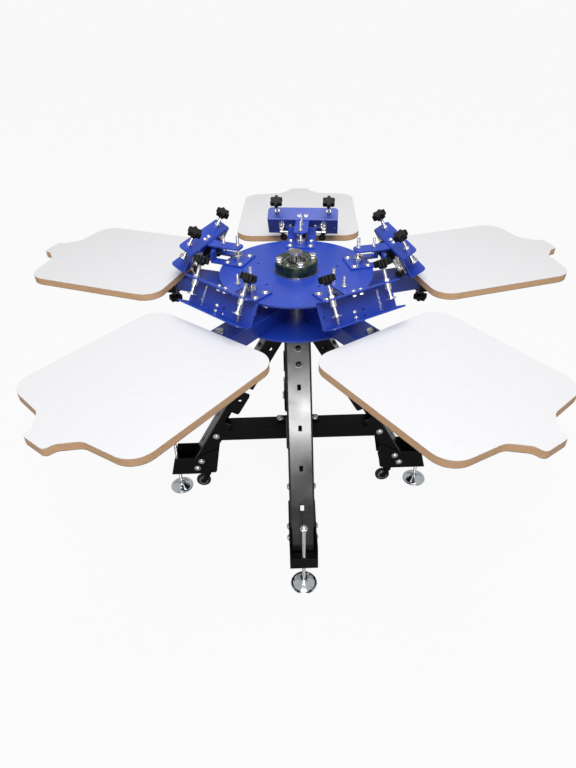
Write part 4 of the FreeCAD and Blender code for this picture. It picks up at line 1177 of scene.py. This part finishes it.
def web_bolts(bm):
    """Domed bolts on the web and its brackets, and a stud in each slot."""
    for height in WEB_BOLT_HEIGHTS:
        button_bolt(bm, aim((CHANNEL_BACK + CHANNEL_SHEET, -WEB_BOLT_SIDE, height), (1, 0, 0)),
                    WEB_BOLT_HEAD, 1)
    for side in (-1, 1):
        for height in BRACKET_BOLT_HEIGHTS:
            button_bolt(bm, aim((CHANNEL_BACK - BRACKET_SHEET, side * BRACKET_BOLT_SIDE, height),
                                (-1, 0, 0)), SMALL_BOLT_HEAD, 1)
        turned_mesh(bm, in_mm(SLOT_STUD_POINTS),
                    aim((CHANNEL_BACK, side * WEB_SLOT_OFFSET, SLIDE_ROD_HEIGHT), (1, 0, 0)), 20, 1)
        button_bolt(bm, aim((CHANNEL_BACK, side * REAR_BOLT_SIDE, REAR_BOLT_HEIGHT), (-1, 0, 0)),
                    SMALL_BOLT_HEAD, 1)


def tongue_bolts(bm):
    """Two socket bolts through the top flange and tongue, with their nuts."""
    for side in (-1, 1):
        spot = Vector((TONGUE_BOLT_REACH, side * TONGUE_BOLT_SIDE, CHANNEL_TOP))
        # The black first finish in the sockets is painted shade.
        button_bolt(bm, aim(spot, (0, 0, 1)), TONGUE_BOLT_HEAD, 1, 0)
        spot.z -= CHANNEL_SHEET + TONGUE_SHEET
        hex_nut(bm, aim(spot, (0, 0, -1)), TONGUE_NUT_CORNER, SMALL_NUT_HEIGHT, 1)


def screw_bush(bm, side):
    """Plated sleeve under the top flange and hexagon nut above it."""
    spot = shift(HAND_SCREW_REACH, side * HAND_SCREW_SIDE, 0)
    under = CHANNEL_TOP - CHANNEL_SHEET
    sleeve = [(BUSH_BORE, BUSH_LOW), (BUSH_RADIUS - BUSH_CHAMFER, BUSH_LOW),
              (BUSH_RADIUS, BUSH_CHAMFER_HIGH), (BUSH_RADIUS, under), (BUSH_BORE, under),
              (BUSH_BORE, BUSH_LOW)]
    turned_mesh(bm, sleeve, spot, 32, 1)
    hex_nut(bm, spot @ shift(0, 0, CHANNEL_TOP), BUSH_NUT_CORNER, BUSH_NUT_HEIGHT, 1, BUSH_BORE)


def slide_rod(bm):
    """Plated rod on which the clamp slides in its block."""
    narrow = SLIDE_ROD - SLIDE_ROD_CHAMFER
    length = 2 * SLIDE_ROD_HALF
    outline = [(0, 0), (narrow, 0), (SLIDE_ROD, SLIDE_ROD_CHAMFER),
               (SLIDE_ROD, length - SLIDE_ROD_CHAMFER), (narrow, length), (0, length)]
    start = (SLIDE_ROD_REACH, -SLIDE_ROD_HALF, SLIDE_ROD_HEIGHT)
    turned_mesh(bm, outline, aim(start, (0, 1, 0)), 28, 1)


def head_fittings():
    """Everything behind one clamp that swings, in its printing position."""
    bm = bmesh.new()
    carriage_block(bm)
    for side in (-1, 1):
        angle_bracket(bm, side)
    bmesh.ops.recalc_face_normals(bm, faces=bm.faces)
    ease_edges(bm, FITTING_EASE)
    slide_rod(bm)
    ribbed_knob(bm, aim(BLOCK_KNOB_PLACE, (-1, 0, 0)), *BLOCK_KNOB)
    for side in (-1, 1):
        knob = SIDE_KNOB_PLACE * Vector((1, side, 1))
        ribbed_knob(bm, aim(knob, (0, 0, -1)), *SIDE_KNOB)
        screw_bush(bm, side)
    web_bolts(bm)
    tongue_bolts(bm)
    return closed_mesh("head_fittings", bm)


def stop_screw(bm, row, reach, radius, low, high):
    """Upright threaded rod in the tongue, with a nut above and below it."""
    threaded_rod(bm, row @ shift(reach, 0, low), radius, SCREW_PITCH, high - low, 16)
    hex_nut(bm, row @ shift(reach, 0, TONGUE_TOP), STOP_NUT_CORNER, STOP_NUT_HEIGHT, 1)
    hex_nut(bm, row @ aim((reach, 0, TONGUE_TOP - TONGUE_SHEET), (0, 0, -1)), STOP_NUT_CORNER,
            STOP_NUT_HEIGHT, 1)


fittings_mesh = head_fittings()
for number in "12345":
    bm = bmesh.new()
    add_copy(bm, fittings_mesh, head_place(number))
    stop_screw(bm, upper_row(number), *LIFT_ROD)
    stop_screw(bm, upper_row(number), *OFF_CONTACT_SCREW)
    new_piece("head_fittings_" + number, "clamp_fittings_" + number, "head_" + number,
              bm, [knob_plastic, zinc_plate])

# clamp screws
# Two hand screws on each head press a screen frame down on the channel. Each
# has a moulded star knob, a threaded rod and a flat round pad.

PRESS_PAD_POINTS = ((0, 0), (13.6, 0), (14.4, 0.8), (14.4, 2.2), (13.6, 3), (8, 3), (6.5, 6), (0, 6))
PRESS_PAD_LOW = 917 * MM
PRESS_PAD_SOCKET = 5 * MM
HAND_SCREW_LENGTH = 80 * MM
HAND_KNOB_LOW = 83 * MM
HAND_KNOB_RADIUS = 22.5 * MM
HAND_KNOB_HEIGHT = 19 * MM

for number in "12345":
    for side, word in ((1, "left"), (-1, "right")):
        node = "clamp_screw_" + number + "_" + word
        place = head_place(number) @ shift(HAND_SCREW_REACH, side * HAND_SCREW_SIDE, PRESS_PAD_LOW)
        bm = bmesh.new()
        turned_mesh(bm, in_mm(PRESS_PAD_POINTS), place, 36, 1)
        threaded_rod(bm, place @ shift(0, 0, PRESS_PAD_SOCKET), SCREW_RADIUS, SCREW_PITCH,
                     HAND_SCREW_LENGTH, 16)
        star_grip(bm, place @ shift(0, 0, HAND_KNOB_LOW), HAND_KNOB_RADIUS, HAND_KNOB_HEIGHT)
        new_piece(node, "hand_screw_" + number + "_" + word, node, bm,
                  [knob_plastic, zinc_plate])

# floor, light and camera
# A plain pale floor, a white surround and soft studio panels: one overhead, one
# high in front, and a low one that only shows as the gleam on the front leg.

FLOOR_RADIUS = 60.0
FLOOR_DROP = 0.5 * MM
FLOOR_GREY = 0.6
FLOOR_SHOWN = 0.94
FLOOR_IN_GLOSS = 0.12
ROOM_IN_GLOSS = 0.5
ROOM_LIGHT = 0.13
EYE = Vector((-0.0559, -1.6007, 1.6695))
EYE_TURN = 0.0145
EYE_TILT = 0.6348
EYE_ROLL = -0.0213
FILM_HEIGHT = 36
FOCAL_SHARE = 565.28 / 768
VIEW_DEPTH = 200


def seen_by(tree, to_camera, in_gloss):
    """A value for what the camera sees and another for reflections."""
    path = add_node(tree, "ShaderNodeLightPath").outputs
    return sums(tree, "MAXIMUM", sums(tree, "MULTIPLY", path["Is Camera Ray"], to_camera),
                sums(tree, "MULTIPLY", path["Is Glossy Ray"], in_gloss))


def plain_floor():
    """Pale matt floor that shows evenly to the camera."""
    bm = bmesh.new()
    turned_mesh(bm, [(0, 0), (FLOOR_RADIUS, 0)], shift(0, 0, -FLOOR_DROP), 64)
    mesh = closed_mesh("studio_floor", bm)
    material = bpy.data.materials.new("pale_floor")
    material.use_nodes = True
    mesh.materials.append(material)
    tree = material.node_tree
    shader = tree.nodes["Principled BSDF"]
    shader.inputs["Base Color"].default_value = (FLOOR_GREY, FLOOR_GREY, FLOOR_GREY, 1)
    shader.inputs["Roughness"].default_value = 0.9
    glow = add_node(tree, "ShaderNodeEmission")
    glow.inputs["Color"].default_value = (1, 1, 1, 1)
    mix = add_node(tree, "ShaderNodeMixShader")
    tree.links.new(seen_by(tree, FLOOR_SHOWN, FLOOR_IN_GLOSS), mix.inputs[0])
    tree.links.new(shader.outputs[0], mix.inputs[1])
    tree.links.new(glow.outputs[0], mix.inputs[2])
    tree.links.new(mix.outputs[0], tree.nodes["Material Output"].inputs["Surface"])
    add_object("studio_floor", mesh)


def white_surround():
    """White to the camera, half as bright in reflections, dim as a light."""
    world = bpy.data.worlds.new("studio_surround")
    bpy.context.scene.world = world
    world.use_nodes = True
    tree = world.node_tree
    room = tree.nodes["Background"]
    room.inputs["Color"].default_value = (1, 1, 1, 1)
    strength = sums(tree, "MAXIMUM", seen_by(tree, 1.0, ROOM_IN_GLOSS), ROOM_LIGHT)
    tree.links.new(strength, room.inputs["Strength"])


def soft_panel(name, place, target, width, height, power):
    """Rectangular lamp that points at a target."""
    lamp = bpy.data.lights.new(name, "AREA")
    lamp.shape = "RECTANGLE"
    lamp.size = width
    lamp.size_y = height
    lamp.energy = power
    panel = add_object(name, lamp)
    panel.location = place
    panel.rotation_euler = (Vector(target) - Vector(place)).to_track_quat("-Z", "Y").to_euler()
    return panel


def photo_camera():
    """Camera at the place and angle from which the photograph was taken."""
    ahead = Vector((math.sin(EYE_TURN) * math.cos(EYE_TILT),
                    math.cos(EYE_TURN) * math.cos(EYE_TILT), -math.sin(EYE_TILT)))
    level = Vector((math.cos(EYE_TURN), -math.sin(EYE_TURN), 0))
    above = level.cross(ahead)
    right = level * math.cos(EYE_ROLL) + above * math.sin(EYE_ROLL)
    above = above * math.cos(EYE_ROLL) - level * math.sin(EYE_ROLL)
    data = bpy.data.cameras.new("photo_camera")
    data.sensor_fit = "VERTICAL"
    data.sensor_height = FILM_HEIGHT
    data.lens = FILM_HEIGHT * FOCAL_SHARE
    data.clip_end = VIEW_DEPTH
    camera = add_object("photo_camera", data)
    camera.matrix_world = shift(*EYE) @ Matrix((right, above, -ahead)).transposed().to_4x4()
    bpy.context.scene.camera = camera


plain_floor()
white_surround()
soft_panel("overhead_panel", (0.1, 0, 3.5), (0, 0, 0.8), width=3, height=2.6, power=60)
soft_panel("high_front_panel", (-0.2, -2.7, 4), (0, 0, 0.8), width=2.4, height=1.4, power=75)
low_front = soft_panel("low_front_panel", (0, -5, 2.15), (0, 0, 0.6), width=3, height=0.6, power=120)
low_front.visible_diffuse = False
photo_camera()
bpy.context.scene.view_settings.view_transform = "Standard"
